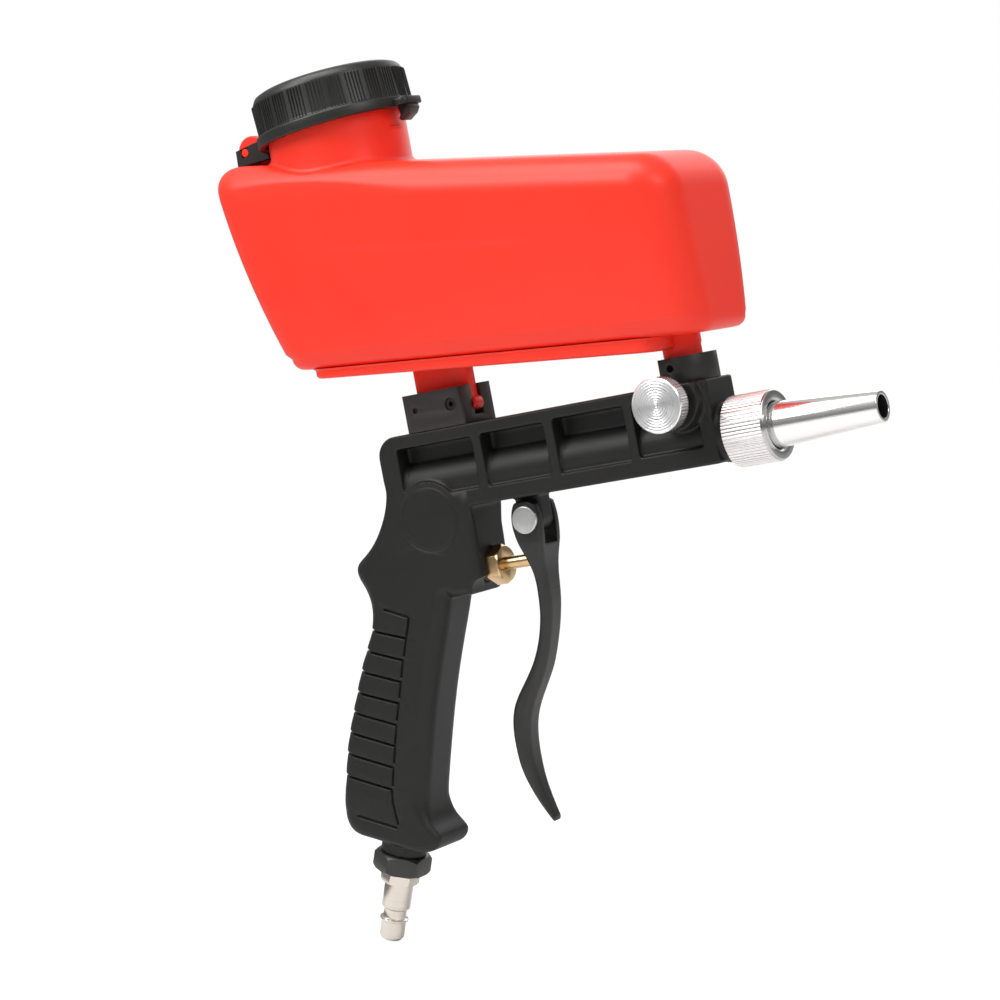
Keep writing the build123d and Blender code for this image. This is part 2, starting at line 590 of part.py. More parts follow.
PARTS = [
    gun_body, air_tube, air_jet, mixing_liner, nozzle, nozzle_gasket, nozzle_nut, spindle, spindle_ring,
    flow_knob, knob_set_screw, trigger, trigger_pin, pin_washer, pin_rivet, valve_gland, valve_stem,
    stem_ring, valve_seat, valve_poppet, valve_spring, inlet_nut, quick_plug, plug_seal, rear_bracket,
    bracket_base_screws, clamp_screw, bracket_dowel, hopper_socket, socket_set_screw, spout_seal, hopper,
    lid, lid_gasket, lid_insert,
]


def main():
    os.makedirs("parts", exist_ok=True)
    for make in PARTS:
        export_step(make(), f"parts/{make.__name__}.step")


if __name__ == "__main__":
    main()
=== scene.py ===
import math

import bmesh
import bpy
import numpy as np
from mathutils import Matrix, Vector


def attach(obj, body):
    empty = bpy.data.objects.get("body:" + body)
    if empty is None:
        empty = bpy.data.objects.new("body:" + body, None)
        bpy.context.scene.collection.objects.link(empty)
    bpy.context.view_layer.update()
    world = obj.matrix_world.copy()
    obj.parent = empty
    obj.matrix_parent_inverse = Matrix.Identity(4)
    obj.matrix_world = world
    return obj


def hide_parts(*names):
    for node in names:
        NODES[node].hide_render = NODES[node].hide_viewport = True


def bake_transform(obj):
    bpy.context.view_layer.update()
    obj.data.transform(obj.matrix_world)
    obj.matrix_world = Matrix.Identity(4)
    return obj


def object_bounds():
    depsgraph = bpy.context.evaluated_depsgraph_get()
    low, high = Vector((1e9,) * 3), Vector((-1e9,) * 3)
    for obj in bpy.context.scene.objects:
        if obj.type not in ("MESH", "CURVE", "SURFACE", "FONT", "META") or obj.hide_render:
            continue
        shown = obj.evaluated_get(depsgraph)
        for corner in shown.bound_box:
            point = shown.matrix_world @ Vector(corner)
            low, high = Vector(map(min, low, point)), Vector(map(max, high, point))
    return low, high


# A hand-held gravity-feed abrasive blast gun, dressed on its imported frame.
# Lengths are written in millimetres and made metres as each mesh is built.

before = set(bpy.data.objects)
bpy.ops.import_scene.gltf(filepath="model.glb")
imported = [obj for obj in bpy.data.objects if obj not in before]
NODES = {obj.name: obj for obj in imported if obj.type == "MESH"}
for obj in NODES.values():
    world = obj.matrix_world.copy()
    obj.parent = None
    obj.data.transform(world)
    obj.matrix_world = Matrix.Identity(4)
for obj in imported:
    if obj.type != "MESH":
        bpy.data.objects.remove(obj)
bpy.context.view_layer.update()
MM = 0.001

# --- sizes that several pieces share -------------------------------------------------
FEED_X = -80.8                     # abrasive port and metering spindle
SPINDLE_Z = 16.0
LID_X, LID_LOW, LID_LEAN = -220.9, 152.6, math.radians(5.2)
LID_RIM = 163.4                    # rim of the neck, measured up the lid's axis
NECK_X, NECK_R = -222.0, 29.2
HINGE_X, HINGE_Z = -264.2, 152.1
WALL = 2.4
GRIP_HALF = 13.0
GRIP_FILLET = 2.5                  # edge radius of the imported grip
RAIL_HALF = 12.5
VALVE_CLEAR = 9.3                  # half width kept whole round the valve's bore
GROOVE_DEPTH = 1.3                 # grooves between the grip's pads
PIVOT_X, PIVOT_Z = -161.5, -20.2   # trigger pin
HOPPER_TALL = 87
FLOOR_MIDDLE = -161.8              # middle of the hopper's floor, in X
INLET_RAKE = math.radians(22)


# --- mesh helpers --------------------------------------------------------------------
def mesh_from(name, points, faces):
    """A closed mesh from points in millimetres, with its normals turned outwards."""
    mesh = bpy.data.meshes.new(name)
    mesh.from_pydata([tuple(p) for p in np.asarray(points, float) * MM], [], faces)
    shell = bmesh.new()
    shell.from_mesh(mesh)
    bmesh.ops.remove_doubles(shell, verts=shell.verts, dist=1e-7)
    bmesh.ops.recalc_face_normals(shell, faces=shell.faces)
    shell.to_mesh(mesh)
    shell.free()
    return mesh


def finish_mesh(mesh, angle=35.0):
    """Smooth shading, with edges sharper than the angle left crisp."""
    mesh.shade_smooth()
    mesh.set_sharp_from_angle(angle=math.radians(angle))


def linked(name, data):
    """A new object for some data, linked into the scene."""
    made = bpy.data.objects.new(name, data)
    bpy.context.scene.collection.objects.link(made)
    return made


def add_piece(name, mesh, body, material, stands_for=(), angle=35.0):
    """A finished piece that rides on a body, if one is named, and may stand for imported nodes."""
    finish_mesh(mesh, angle)
    mesh.materials.clear()
    mesh.materials.append(material)
    piece = linked(name, mesh)
    if body:
        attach(piece, body)
    if stands_for:
        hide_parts(*stands_for)
    return piece


def mesh_of(shell, name):
    """A new mesh from a shell, which is then freed."""
    mesh = bpy.data.meshes.new(name)
    shell.to_mesh(mesh)
    shell.free()
    return mesh


def joined(name, meshes):
    """One mesh that holds several."""
    shell = bmesh.new()
    for mesh in meshes:
        shell.from_mesh(mesh)
    return mesh_of(shell, name)


def evaluated(mesh, set_modifiers):
    """The plain mesh that a mesh becomes under modifiers, which are then gone."""
    holder = linked("holder", mesh)
    set_modifiers(holder)
    graph = bpy.context.evaluated_depsgraph_get()
    result = bpy.data.meshes.new_from_object(holder.evaluated_get(graph), depsgraph=graph)
    holder.modifiers.clear()
    bpy.data.objects.remove(holder)
    return result


def merged_copy(node, flat=True):
    """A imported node's shape with its vertices merged and its flat faces whole."""
    source = NODES[node].data
    mesh = bpy.data.meshes.new(node + "_copy")
    points = np.empty(len(source.vertices) * 3)
    source.vertices.foreach_get("co", points)
    mesh.from_pydata(points.reshape(-1, 3).tolist(), [], [tuple(f.vertices) for f in source.polygons])
    shell = bmesh.new()
    shell.from_mesh(mesh)
    bmesh.ops.remove_doubles(shell, verts=shell.verts, dist=2e-6)
    if flat:
        bmesh.ops.dissolve_limit(shell, angle_limit=math.radians(0.6), verts=shell.verts, edges=shell.edges)
    shell.to_mesh(mesh)
    shell.free()
    return mesh


def eased(node, width, angle=28.0):
    """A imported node's shape with its sharp edges eased by a small round."""
    def modifiers(holder):
        bevel = holder.modifiers.new("eased edges", "BEVEL")
        bevel.width = width * MM
        bevel.segments = 2
        bevel.limit_method = "ANGLE"
        bevel.angle_limit = math.radians(angle)
        bevel.use_clamp_overlap = True
    return evaluated(merged_copy(node), modifiers)


def even_skin(mesh, voxel, rounds):
    """One closed skin of even quads round a shape, lightly smoothed."""
    def modifiers(holder):
        remesh = holder.modifiers.new("even skin", "REMESH")
        remesh.mode = "VOXEL"
        remesh.voxel_size = voxel * MM
        smooth = holder.modifiers.new("relaxed", "SMOOTH")
        smooth.factor = 0.5
        smooth.iterations = rounds
    return evaluated(mesh, modifiers)


def thinned(mesh, triangles):
    """The same skin with fewer triangles where it is flat."""
    count = sum(len(f.vertices) - 2 for f in mesh.polygons)
    if count <= triangles:
        return mesh

    def modifiers(holder):
        decimate = holder.modifiers.new("thinned", "DECIMATE")
        decimate.ratio = triangles / count
        decimate.use_collapse_triangulate = True
    return evaluated(mesh, modifiers)


def points_of(mesh):
    flat = np.empty(len(mesh.vertices) * 3)
    mesh.vertices.foreach_get("co", flat)
    return flat.reshape(-1, 3) / MM


def set_points(mesh, points):
    mesh.vertices.foreach_set("co", (points * MM).ravel())
    mesh.update()


def softened(profile, radius, steps=3):
    """A closed profile with each corner turned into a small curve."""
    made = []
    count = len(profile)
    for i, corner in enumerate(profile):
        corner = np.array(corner, float)
        before = np.array(profile[i - 1], float) - corner
        after = np.array(profile[(i + 1) % count], float) - corner
        reach_before, reach_after = np.hypot(*before), np.hypot(*after)
        if corner[1] <= 0 or min(reach_before, reach_after) < 1e-6:
            made.append(tuple(corner))
            continue
        cut = min(radius, 0.45 * reach_before, 0.45 * reach_after)
        start = corner + before / reach_before * cut
        end = corner + after / reach_after * cut
        for k in range(steps + 1):
            t = k / steps
            made.append(tuple((1 - t) ** 2 * start + 2 * t * (1 - t) * corner + t * t * end))
    return made


def lathe(name, profile, place, segments=128, soft=0.0, steps=3):
    """A closed profile of (along, radius) pairs turned about the placed Z axis."""
    if soft:
        profile = softened(profile, soft, steps)
    rings, points, faces = [], [], []
    for along, radius in profile:
        if radius <= 1e-6:
            rings.append([len(points)] * segments)
            points.append((0, 0, along))
            continue
        rings.append(list(range(len(points), len(points) + segments)))
        for k in range(segments):
            turn = 2 * math.pi * k / segments
            points.append((radius * math.cos(turn), radius * math.sin(turn), along))
    for i, ring in enumerate(rings):
        after = rings[(i + 1) % len(rings)]
        for k in range(segments):
            corners = [ring[k], ring[(k + 1) % segments], after[(k + 1) % segments], after[k]]
            face = [c for j, c in enumerate(corners) if c not in corners[:j]]
            if len(face) > 2:
                faces.append(face)
    placed = [place @ Vector(p) for p in points]
    return mesh_from(name, placed, faces)


def placed_axis(origin, along):
    """A matrix in millimetres that takes the Z axis to a direction from an origin."""
    turn = Vector(along).to_track_quat("Z", "Y")
    return Matrix.Translation(Vector(origin)) @ turn.to_matrix().to_4x4()


BARREL = placed_axis((0, 0, 0), (1, 0, 0))
KNOB_AXIS = placed_axis((FEED_X, 0, SPINDLE_Z), (0, -1, 0))
LID_AXIS = (Matrix.Translation((LID_X, 0, LID_LOW)) @ Matrix.Rotation(-LID_LEAN, 4, "Y")
            @ Matrix.Translation((0, 0, -LID_LOW)))


def smooth_step(value, low, high):
    share = np.clip((value - low) / (high - low), 0, 1)
    return share * share * (3 - 2 * share)


def segment_distance(points, starts, ends):
    """Distance from each 2-D point to the nearest of several segments."""
    along = ends - starts
    length = np.maximum((along ** 2).sum(1), 1e-12)
    best = np.full(len(points), 1e9)
    for start, way, size in zip(starts, along, length):
        share = np.clip(((points - start) @ way) / size, 0, 1)
        best = np.minimum(best, np.hypot(*(points - start - share[:, None] * way).T))
    return best


# --- materials -----------------------------------------------------------------------
def group(name, inputs, outputs):
    """A shader node group with named sockets; returns it with its given and wanted sockets."""
    tree = bpy.data.node_groups.new(name, "ShaderNodeTree")
    for label, value in inputs.items():
        kind = "NodeSocketVector" if isinstance(value, tuple) else "NodeSocketFloat"
        tree.interface.new_socket(label, in_out="INPUT", socket_type=kind).default_value = value
    for label in outputs:
        tree.interface.new_socket(label, in_out="OUTPUT", socket_type="NodeSocketFloat")
    return tree, tree.nodes.new("NodeGroupInput").outputs, tree.nodes.new("NodeGroupOutput").inputs


def node(tree, kind, settings=None, **inputs):
    """A node with its settings and inputs; an input may be a value or a socket."""
    made = tree.nodes.new(kind if kind[:8] in ("Geometry", "Function") else "ShaderNode" + kind)
    for key, value in (settings or {}).items():
        setattr(made, key, value)
    for key, value in inputs.items():
        by_number = key[0] == "n" and key[1:].isdigit()
        socket = made.inputs[int(key[1:]) if by_number else key.replace("_", " ")]
        if isinstance(value, bpy.types.NodeSocket):
            tree.links.new(value, socket)
        else:
            socket.default_value = value
    return made


def math_node(tree, operation, first, second=0.0, third=0.0):
    return node(tree, "Math", {"operation": operation}, n0=first, n1=second, n2=third).outputs[0]


def build_moulded_grain():
    """Fine pitting and a slow unevenness, as on moulded plastic."""
    tree, given, out = group(
        "moulded_grain", {"Grain Size": 1400.0, "Cloud Size": 30.0, "Contrast": 1.0}, ["Height", "Cloud"],
    )
    here = node(tree, "TexCoord").outputs["Object"]
    grain = node(tree, "TexNoise", Vector=here, Scale=given["Grain Size"], Detail=3.0, Roughness=0.6)
    cloud = node(tree, "TexNoise", Vector=here, Scale=given["Cloud Size"], Detail=4.0, Roughness=0.55)
    centred = math_node(tree, "SUBTRACT", cloud.outputs[0], 0.5)
    spread = math_node(tree, "MULTIPLY_ADD", centred, given["Contrast"], 0.5)
    clamped = node(tree, "Clamp", Value=spread).outputs[0]
    tree.links.new(grain.outputs[0], out["Height"])
    tree.links.new(clamped, out["Cloud"])
    return tree


def build_edge_wear():
    """Where raised edges are rubbed, broken up by noise."""
    tree, given, out = group(
        "edge_wear", {"Start": 0.52, "Full": 0.6, "Patch Size": 160.0}, ["Mask"],
    )
    raised = node(tree, "NewGeometry").outputs["Pointiness"]
    here = node(tree, "TexCoord").outputs["Object"]
    patch = node(tree, "TexNoise", Vector=here, Scale=given["Patch Size"], Detail=3.0)
    rub = node(
        tree, "MapRange", {"interpolation_type": "SMOOTHSTEP"}, Value=raised,
        From_Min=given["Start"], From_Max=given["Full"],
    ).outputs[0]
    broken = node(tree, "MapRange", Value=patch.outputs[0], From_Min=0.35, From_Max=0.6).outputs[0]
    tree.links.new(math_node(tree, "MULTIPLY", rub, broken), out["Mask"])
    return tree


def build_tool_marks():
    """Fine lines left by turning: rings along an axis, or circles round it on a face."""
    tree, given, out = group(
        "tool_marks", {"Centre": (0, 0, 0), "Along": (1, 0, 0), "Lines": 4000.0, "Face": 0.0}, ["Height",
            "Streak"],
    )
    here = node(tree, "TexCoord").outputs["Object"]
    from_centre = node(tree, "VectorMath", {"operation": "SUBTRACT"}, n0=here, n1=given["Centre"])
    along = node(tree, "VectorMath", {"operation": "DOT_PRODUCT"}, n0=from_centre.outputs[0],
                 n1=given["Along"]).outputs["Value"]
    whole = node(tree, "VectorMath", {"operation": "DOT_PRODUCT"}, n0=from_centre.outputs[0],
                 n1=from_centre.outputs[0]).outputs["Value"]
    across = math_node(tree, "SUBTRACT", whole, math_node(tree, "MULTIPLY", along, along))
    radius = math_node(tree, "SQRT", math_node(tree, "MAXIMUM", across, 0.0))
    from_axis = math_node(tree, "MULTIPLY", radius, given["Face"])
    by_length = math_node(tree, "MULTIPLY", along, math_node(tree, "SUBTRACT", 1.0, given["Face"]))
    place = math_node(tree, "ADD", from_axis, by_length)
    lines = math_node(tree, "MULTIPLY", place, given["Lines"])
    fine = node(tree, "TexNoise", {"noise_dimensions": "1D"}, W=lines, Scale=1.0, Detail=3.0, Roughness=0.7)
    broad = node(tree, "TexNoise", {"noise_dimensions": "1D"}, W=lines, Scale=0.12, Detail=2.0)
    tree.links.new(fine.outputs[0], out["Height"])
    tree.links.new(broad.outputs[0], out["Streak"])
    return tree


MOULDED_GRAIN = build_moulded_grain()
EDGE_WEAR = build_edge_wear()
TOOL_MARKS = build_tool_marks()


def new_material(name, **settings):
    """A material with one Principled shader whose constants are set on its own sockets."""
    material = bpy.data.materials.new(name)
    material.use_nodes = True
    tree = material.node_tree
    shader = tree.nodes["Principled BSDF"]
    for key, value in settings.items():
        shader.inputs[key.replace("_", " ")].default_value = value
    material.diffuse_color = shader.inputs["Base Color"].default_value[:]
    return material, tree, shader


def use_group(tree, effect, **inputs):
    return node(tree, "Group", {"node_tree": effect}, **inputs)


def mixed(tree, share, first, second):
    """A colour between two, by a mask."""
    return node(tree, "Mix", {"data_type": "RGBA"}, n0=share, n6=first, n7=second).outputs[2]


def ranged(tree, value, low, high):
    return node(tree, "MapRange", Value=value, To_Min=low, To_Max=high).outputs[0]


def bumped(tree, height, depth, strength):
    """A normal from a height field whose full depth is given in millimetres."""
    return node(tree, "Bump", Height=height, Distance=depth * MM, Strength=strength).outputs[0]


def moulded_plastic(name, dark, pale, rough, grain=1400.0, depth=0.03, wear=None, cloud=28.0, contrast=1.0,
    **more):
    """Moulded plastic: clouded colour, uneven gloss, pitted skin and rubbed edges."""
    material, tree, shader = new_material(name, Base_Color=(*pale, 1), **more)
    skin = use_group(tree, MOULDED_GRAIN, Grain_Size=grain, Cloud_Size=cloud, Contrast=contrast)
    colour = mixed(tree, skin.outputs["Cloud"], (*dark, 1), (*pale, 1))
    roughness = ranged(tree, skin.outputs["Cloud"], rough[0], rough[1])
    if wear:
        rubbed = use_group(tree, EDGE_WEAR, Start=wear[0], Full=wear[1])
        colour = mixed(tree, rubbed.outputs["Mask"], colour, (*wear[2], 1))
    tree.links.new(colour, shader.inputs["Base Color"])
    tree.links.new(roughness, shader.inputs["Roughness"])
    tree.links.new(bumped(tree, skin.outputs["Height"], depth, 0.5), shader.inputs["Normal"])
    return material


def turned_metal(name, dark, pale, rough, centre, along, lines=9000.0, face=0.0, depth=0.01, **more):
    """Machined metal: tool lines in colour, gloss and relief."""
    material, tree, shader = new_material(name, Base_Color=(*pale, 1), Metallic=1.0, **more)
    marks = use_group(tree, TOOL_MARKS, Centre=tuple(c * MM for c in centre), Along=along, Lines=lines,
        Face=face)
    tint = use_group(tree, MOULDED_GRAIN, Grain_Size=900.0, Cloud_Size=90.0, Contrast=1.4)
    streak = math_node(tree, "MULTIPLY_ADD", marks.outputs["Streak"], 0.6,
        math_node(tree, "MULTIPLY", tint.outputs["Cloud"], 0.4))
    tree.links.new(mixed(tree, streak, (*dark, 1), (*pale, 1)), shader.inputs["Base Color"])
    tree.links.new(ranged(tree, streak, rough[0], rough[1]), shader.inputs["Roughness"])
    tree.links.new(bumped(tree, marks.outputs["Height"], depth, 0.4), shader.inputs["Normal"])
    return material


INLET_DOWN = (-math.sin(INLET_RAKE), 0.0, -math.cos(INLET_RAKE))
INLET_TOP = (-256.8, 0.0, -151.5)

FRAME_NYLON = moulded_plastic(
    "frame_nylon", (0.0068, 0.0068, 0.0063), (0.0112, 0.011, 0.0101), (0.42, 0.56), grain=1500.0, depth=0.035,
    wear=(0.57, 0.7, (0.03, 0.029, 0.027)), Specular_IOR_Level=0.36)
LEVER_NYLON = moulded_plastic(
    "lever_nylon", (0.011, 0.0107, 0.0102), (0.018, 0.0172, 0.016), (0.33, 0.46), grain=1900.0, depth=0.02,
    wear=(0.53, 0.6, (0.055, 0.053, 0.05)), cloud=45.0)
# the bracket's black is tinted red-brown: painted reflection of the red hopper it holds
BRACKET_PLASTIC = moulded_plastic(
    "bracket_plastic", (0.012, 0.0092, 0.0095), (0.02, 0.0155, 0.016), (0.4, 0.52), grain=1500.0, depth=0.03)
COLLAR_PLASTIC = moulded_plastic(
    "collar_plastic", (0.011, 0.0103, 0.01), (0.018, 0.017, 0.0165), (0.36, 0.48), grain=1500.0, depth=0.03)
CAP_PLASTIC = moulded_plastic(
    "cap_plastic", (0.009, 0.0088, 0.0083), (0.017, 0.0166, 0.0157), (0.34, 0.46), grain=1700.0, depth=0.02)
NUT_PLASTIC = moulded_plastic(
    "lock_nut_plastic", (0.018, 0.019, 0.016), (0.032, 0.033, 0.028), (0.3, 0.42), grain=1600.0, depth=0.02)
ACETAL = moulded_plastic("spindle_acetal", (0.018, 0.018, 0.018), (0.028, 0.028, 0.028), (0.3, 0.4))
HOPPER_RED = moulded_plastic(
    "hopper_red", (0.92, 0.03, 0.012), (0.98, 0.04, 0.018), (0.36, 0.46), grain=420.0, depth=0.04,
    cloud=16.0, contrast=1.2, Coat_Weight=0.05, Coat_Roughness=0.25, Specular_IOR_Level=0.34)
INSERT_WHITE = moulded_plastic("insert_white", (0.72, 0.72, 0.7), (0.82, 0.82, 0.8), (0.35, 0.45))
RUBBER = moulded_plastic("seal_rubber", (0.012, 0.012, 0.012), (0.022, 0.022, 0.022), (0.6, 0.75), depth=0.04)
NOZZLE_STEEL = turned_metal(
    "nozzle_steel", (0.84, 0.83, 0.81), (0.93, 0.925, 0.91), (0.12, 0.2), (0, 0, 0), (1, 0,
        0), lines=7000.0, depth=0.004)
NUT_ALUMINIUM = turned_metal(
    "nut_aluminium", (0.86, 0.83, 0.82), (0.95, 0.92, 0.91), (0.4, 0.5), (0, 0, 0), (1, 0,
        0), lines=6000.0, depth=0.004)
# the nut's turned face is polished, and coloured a darker grey than the nut's aluminium: painted shade for
# the dim reflection it shows
NUT_FACE = turned_metal(
    "nut_face", (0.5, 0.495, 0.49), (0.62, 0.61, 0.6), (0.14, 0.2), (-45, 0, 0), (1, 0,
        0), lines=5000.0, face=1.0,
    depth=0.003)
KNOB_ALUMINIUM = turned_metal(
    "knob_aluminium", (0.84, 0.84, 0.84), (0.95, 0.95, 0.95), (0.24, 0.32), (FEED_X, 0, SPINDLE_Z), (0, -1,
        0),
    lines=6000.0, face=1.0, depth=0.01)
TUBE_ALUMINIUM = turned_metal("tube_aluminium", (0.7, 0.7, 0.7), (0.8, 0.8, 0.8), (0.3, 0.4), (0, 0, 0),
    (1, 0, 0))
PIN_STEEL = turned_metal(
    "pin_steel", (0.55, 0.55, 0.54), (0.74, 0.74, 0.72), (0.28, 0.4), (PIVOT_X, 0, PIVOT_Z), (0, 1,
        0), lines=4000.0,
    face=1.0, depth=0.008)
NICKEL = turned_metal(
    "plug_nickel", (0.66, 0.6, 0.53), (0.82, 0.76, 0.69), (0.16,
        0.28), INLET_TOP, INLET_DOWN, lines=5000.0, depth=0.008)
BRASS = turned_metal(
    "valve_brass", (0.52, 0.34, 0.17), (0.78, 0.56, 0.3), (0.16, 0.3), (-180, 0, -37), (1, 0,
        0), lines=5200.0, depth=0.01)
PLAIN_STEEL = turned_metal("plain_steel", (0.5, 0.5, 0.49), (0.66, 0.66, 0.65), (0.25, 0.4), (0, 0, 0),
    (0, 1, 0))
BLACK_STEEL = turned_metal(
    "black_steel", (0.03, 0.03, 0.03), (0.06, 0.06, 0.06), (0.35, 0.5), (0, 0, 0), (0, 1, 0))


def shade_nozzle_bore(material, radius):
    """Paints shade into a nozzle's bore: a dark colour in its hollow, and a duller gloss."""
    tree = material.node_tree
    shader = tree.nodes["Principled BSDF"]
    here = node(tree, "TexCoord").outputs["Object"]
    apart = node(tree, "SeparateXYZ", Vector=here)
    flat = node(tree, "CombineXYZ", X=0.0, Y=apart.outputs[1], Z=apart.outputs[2])
    away = node(tree, "VectorMath", {"operation": "LENGTH"}, n0=flat.outputs[0]).outputs["Value"]
    inside = node(tree, "MapRange", Value=away, From_Min=radius * MM, From_Max=(radius + 0.08)
        * MM).outputs[0]
    skin = shader.inputs["Base Color"].links[0].from_socket
    gloss = shader.inputs["Roughness"].links[0].from_socket
    # painted shade: the hollow of the bore is coloured near black
    tree.links.new(mixed(tree, inside, (0.05, 0.05, 0.052, 1), skin), shader.inputs["Base Color"])
    dull = node(tree, "Mix", {"data_type": "FLOAT"}, n0=inside, n2=0.5, n3=gloss).outputs[0]
    tree.links.new(dull, shader.inputs["Roughness"])


shade_nozzle_bore(NOZZLE_STEEL, 4.64)

FINISHES = {
    "black_nylon": FRAME_NYLON, "black_lever": LEVER_NYLON, "black_mount": BRACKET_PLASTIC,
    "black_cap": CAP_PLASTIC, "black_nut": NUT_PLASTIC, "black_acetal": ACETAL, "red_plastic": HOPPER_RED,
    "white_plastic": INSERT_WHITE, "polished_steel": NOZZLE_STEEL, "knurled_aluminium": NUT_ALUMINIUM,
    "turned_aluminium": KNOB_ALUMINIUM, "bare_aluminium": TUBE_ALUMINIUM, "pin_steel": PIN_STEEL,
    "nickel_plate": NICKEL, "plain_steel": PLAIN_STEEL, "black_steel": BLACK_STEEL, "brass": BRASS,
    "rubber": RUBBER,
}


# --- ribs round an axis, made by geometry nodes -----------------------------------------
def build_rib_ring():
    """Straight ribs stood round a circle, in groups with a gap between them."""
    tree = bpy.data.node_groups.new("rib_ring", "GeometryNodeTree")
    tree.is_modifier = True
    wanted = [("Geometry", "Geometry"), ("Count", "Int"), ("Radius", "Float"),
              ("Length", "Float"), ("Width", "Float"), ("Depth", "Float"),
              ("Height", "Float"), ("Group", "Int"), ("Gap", "Int"),
              ("Finish", "Material")]
    for label, kind in wanted:
        tree.interface.new_socket(label, in_out="INPUT", socket_type="NodeSocket" + kind)
    tree.interface.new_socket("Geometry", in_out="OUTPUT", socket_type="NodeSocketGeometry")
    given, out = tree.nodes.new("NodeGroupInput").outputs, tree.nodes.new("NodeGroupOutput")
    circle = node(tree, "GeometryNodeMeshCircle", Vertices=given["Count"], Radius=given["Radius"])
    lift = node(tree, "CombineXYZ", Z=given["Height"])
    raised = node(tree, "GeometryNodeSetPosition", Geometry=circle.outputs[0], Offset=lift.outputs[0])
    half_width = math_node(tree, "MULTIPLY", given["Width"], 0.5)
    rib = node(tree, "GeometryNodeMeshCylinder", Vertices=8, Radius=half_width, Depth=given["Length"])
    flatten = math_node(tree, "DIVIDE", given["Depth"], half_width)
    size = node(tree, "CombineXYZ", X=flatten, Y=1.0, Z=1.0)
    place = node(tree, "GeometryNodeInputPosition")
    outward = node(tree, "VectorMath", {"operation": "MULTIPLY"}, n0=place.outputs[0], n1=(1, 1, 0))
    facing = node(tree, "FunctionNodeAlignRotationToVector", {"axis": "X", "pivot_axis": "Z"},
        Vector=outward.outputs[0])
    number = node(tree, "GeometryNodeInputIndex")
    in_group = math_node(tree, "MODULO", number.outputs[0], given["Group"])
    kept = math_node(tree, "GREATER_THAN", in_group, math_node(tree, "SUBTRACT", given["Gap"], 0.5))
    stood = node(tree, "GeometryNodeInstanceOnPoints", Points=raised.outputs[0], Selection=kept,
                 Instance=rib.outputs["Mesh"], Rotation=facing.outputs[0], Scale=size.outputs[0])
    real = node(tree, "GeometryNodeRealizeInstances", Geometry=stood.outputs[0])
    finished = node(tree, "GeometryNodeSetMaterial", Geometry=real.outputs[0], Material=given["Finish"])
    tree.links.new(finished.outputs[0], out.inputs[0])
    return tree


RIB_RING = build_rib_ring()


def rib_ring(name, place, finish, count, radius, length, width, depth, height, in_group=1, gap=0):
    """A plain mesh of ribs about a placed axis; sizes in millimetres."""
    values = {"Count": count, "Radius": radius * MM, "Length": length * MM, "Width": width * MM,
              "Depth": depth * MM, "Height": height * MM, "Group": in_group, "Gap": gap, "Finish": finish}

    def modifiers(holder):
        nodes_modifier = holder.modifiers.new("ribs", "NODES")
        nodes_modifier.node_group = RIB_RING
        for item in RIB_RING.interface.items_tree:
            if item.in_out == "INPUT" and item.name in values:
                nodes_modifier[item.identifier] = values[item.name]
    ribs = evaluated(bpy.data.meshes.new(name), modifiers)
    metres = place.copy()
    metres.translation = place.translation * MM
    ribs.transform(metres)
    return ribs


# --- frame and grip ------------------------------------------------------------------
GRIP_EDGE = [(-165.0, 2.5), (-141.0, 2.6), (-130.0, 6.6), (-62.0, 6.8), (-32.0, 5.4), (-14.0, 3.6),
    (8.0, 2.5)]
PAD_GROOVES = [
    ((-234.8, -47.6), (-223.9, -52.1)), ((-242.4, -55.9), (-226.9, -60.8)), ((-246.1, -64.3),
        (-230.6, -69.7)),
    ((-250.6, -72.7), (-233.5, -78.6)), ((-255.1, -81.1), (-236.5, -87.4)), ((-259.7, -89.0),
        (-239.8, -96.3)),
    ((-264.6, -96.8), (-242.6, -105.0)), ((-267.4, -105.7), (-245.3, -114.0)), ((-270.6, -114.8),
        (-248.2, -123.1)),
    ((-267.6, -132.6), (-249.6, -139.3)),
]
PAD_FRONTS = [
    ((-223.6, -52.4), (-226.7, -60.7)), ((-227.0, -61.2), (-229.6, -67.8)), ((-230.6, -69.7),
        (-232.9, -76.6)),
    ((-233.7, -78.5), (-235.7, -84.9)), ((-236.6, -87.4), (-239.1, -94.1)), ((-239.8, -96.3),
        (-242.2, -103.9)),
    ((-242.6, -105.3), (-244.5, -112.0)), ((-245.4, -114.0), (-247.3, -121.3)), ((-248.2, -123.3),
        (-249.0, -128.7)),
    ((-249.0, -128.7), (-248.3, -138.1)),
]
DISC_X, DISC_Z, DISC_R = -204.8, -13.2, 13.4
HOUSING_FRONT = [(-184.0, -8.0), (-185.2, -40.5), (-185.7, -43.0), (-187.1, -45.1), (-189.1, -46.5),
    (-191.5, -47.0),
                 (-203.0, -47.0)]


def rim_segments(mesh, level):
    """The grip's outline in X and Z, where its side wall meets the rounded edge."""
    points = points_of(mesh)
    starts, ends = [], []
    for edge in mesh.edges:
        a, b = points[edge.vertices[0]], points[edge.vertices[1]]
        on_rim = abs(abs(a[1]) - level) < 0.03 and abs(abs(b[1]) - level) < 0.03 and a[1] * b[1] > 0
        if on_rim and min(a[2], b[2]) > -153 and max(a[0], b[0]) < -203.5 and max(a[2], b[2]) < 8.2:
            starts.append((a[0], a[2]))
            ends.append((b[0], b[2]))
    return np.array(starts), np.array(ends)


def edge_height(distance, radius, half):
    """Half thickness at a distance inside a rounded edge."""
    inside = np.clip(radius - distance, 0, radius)
    return half - radius + np.sqrt(np.maximum(radius ** 2 - inside ** 2, 0))


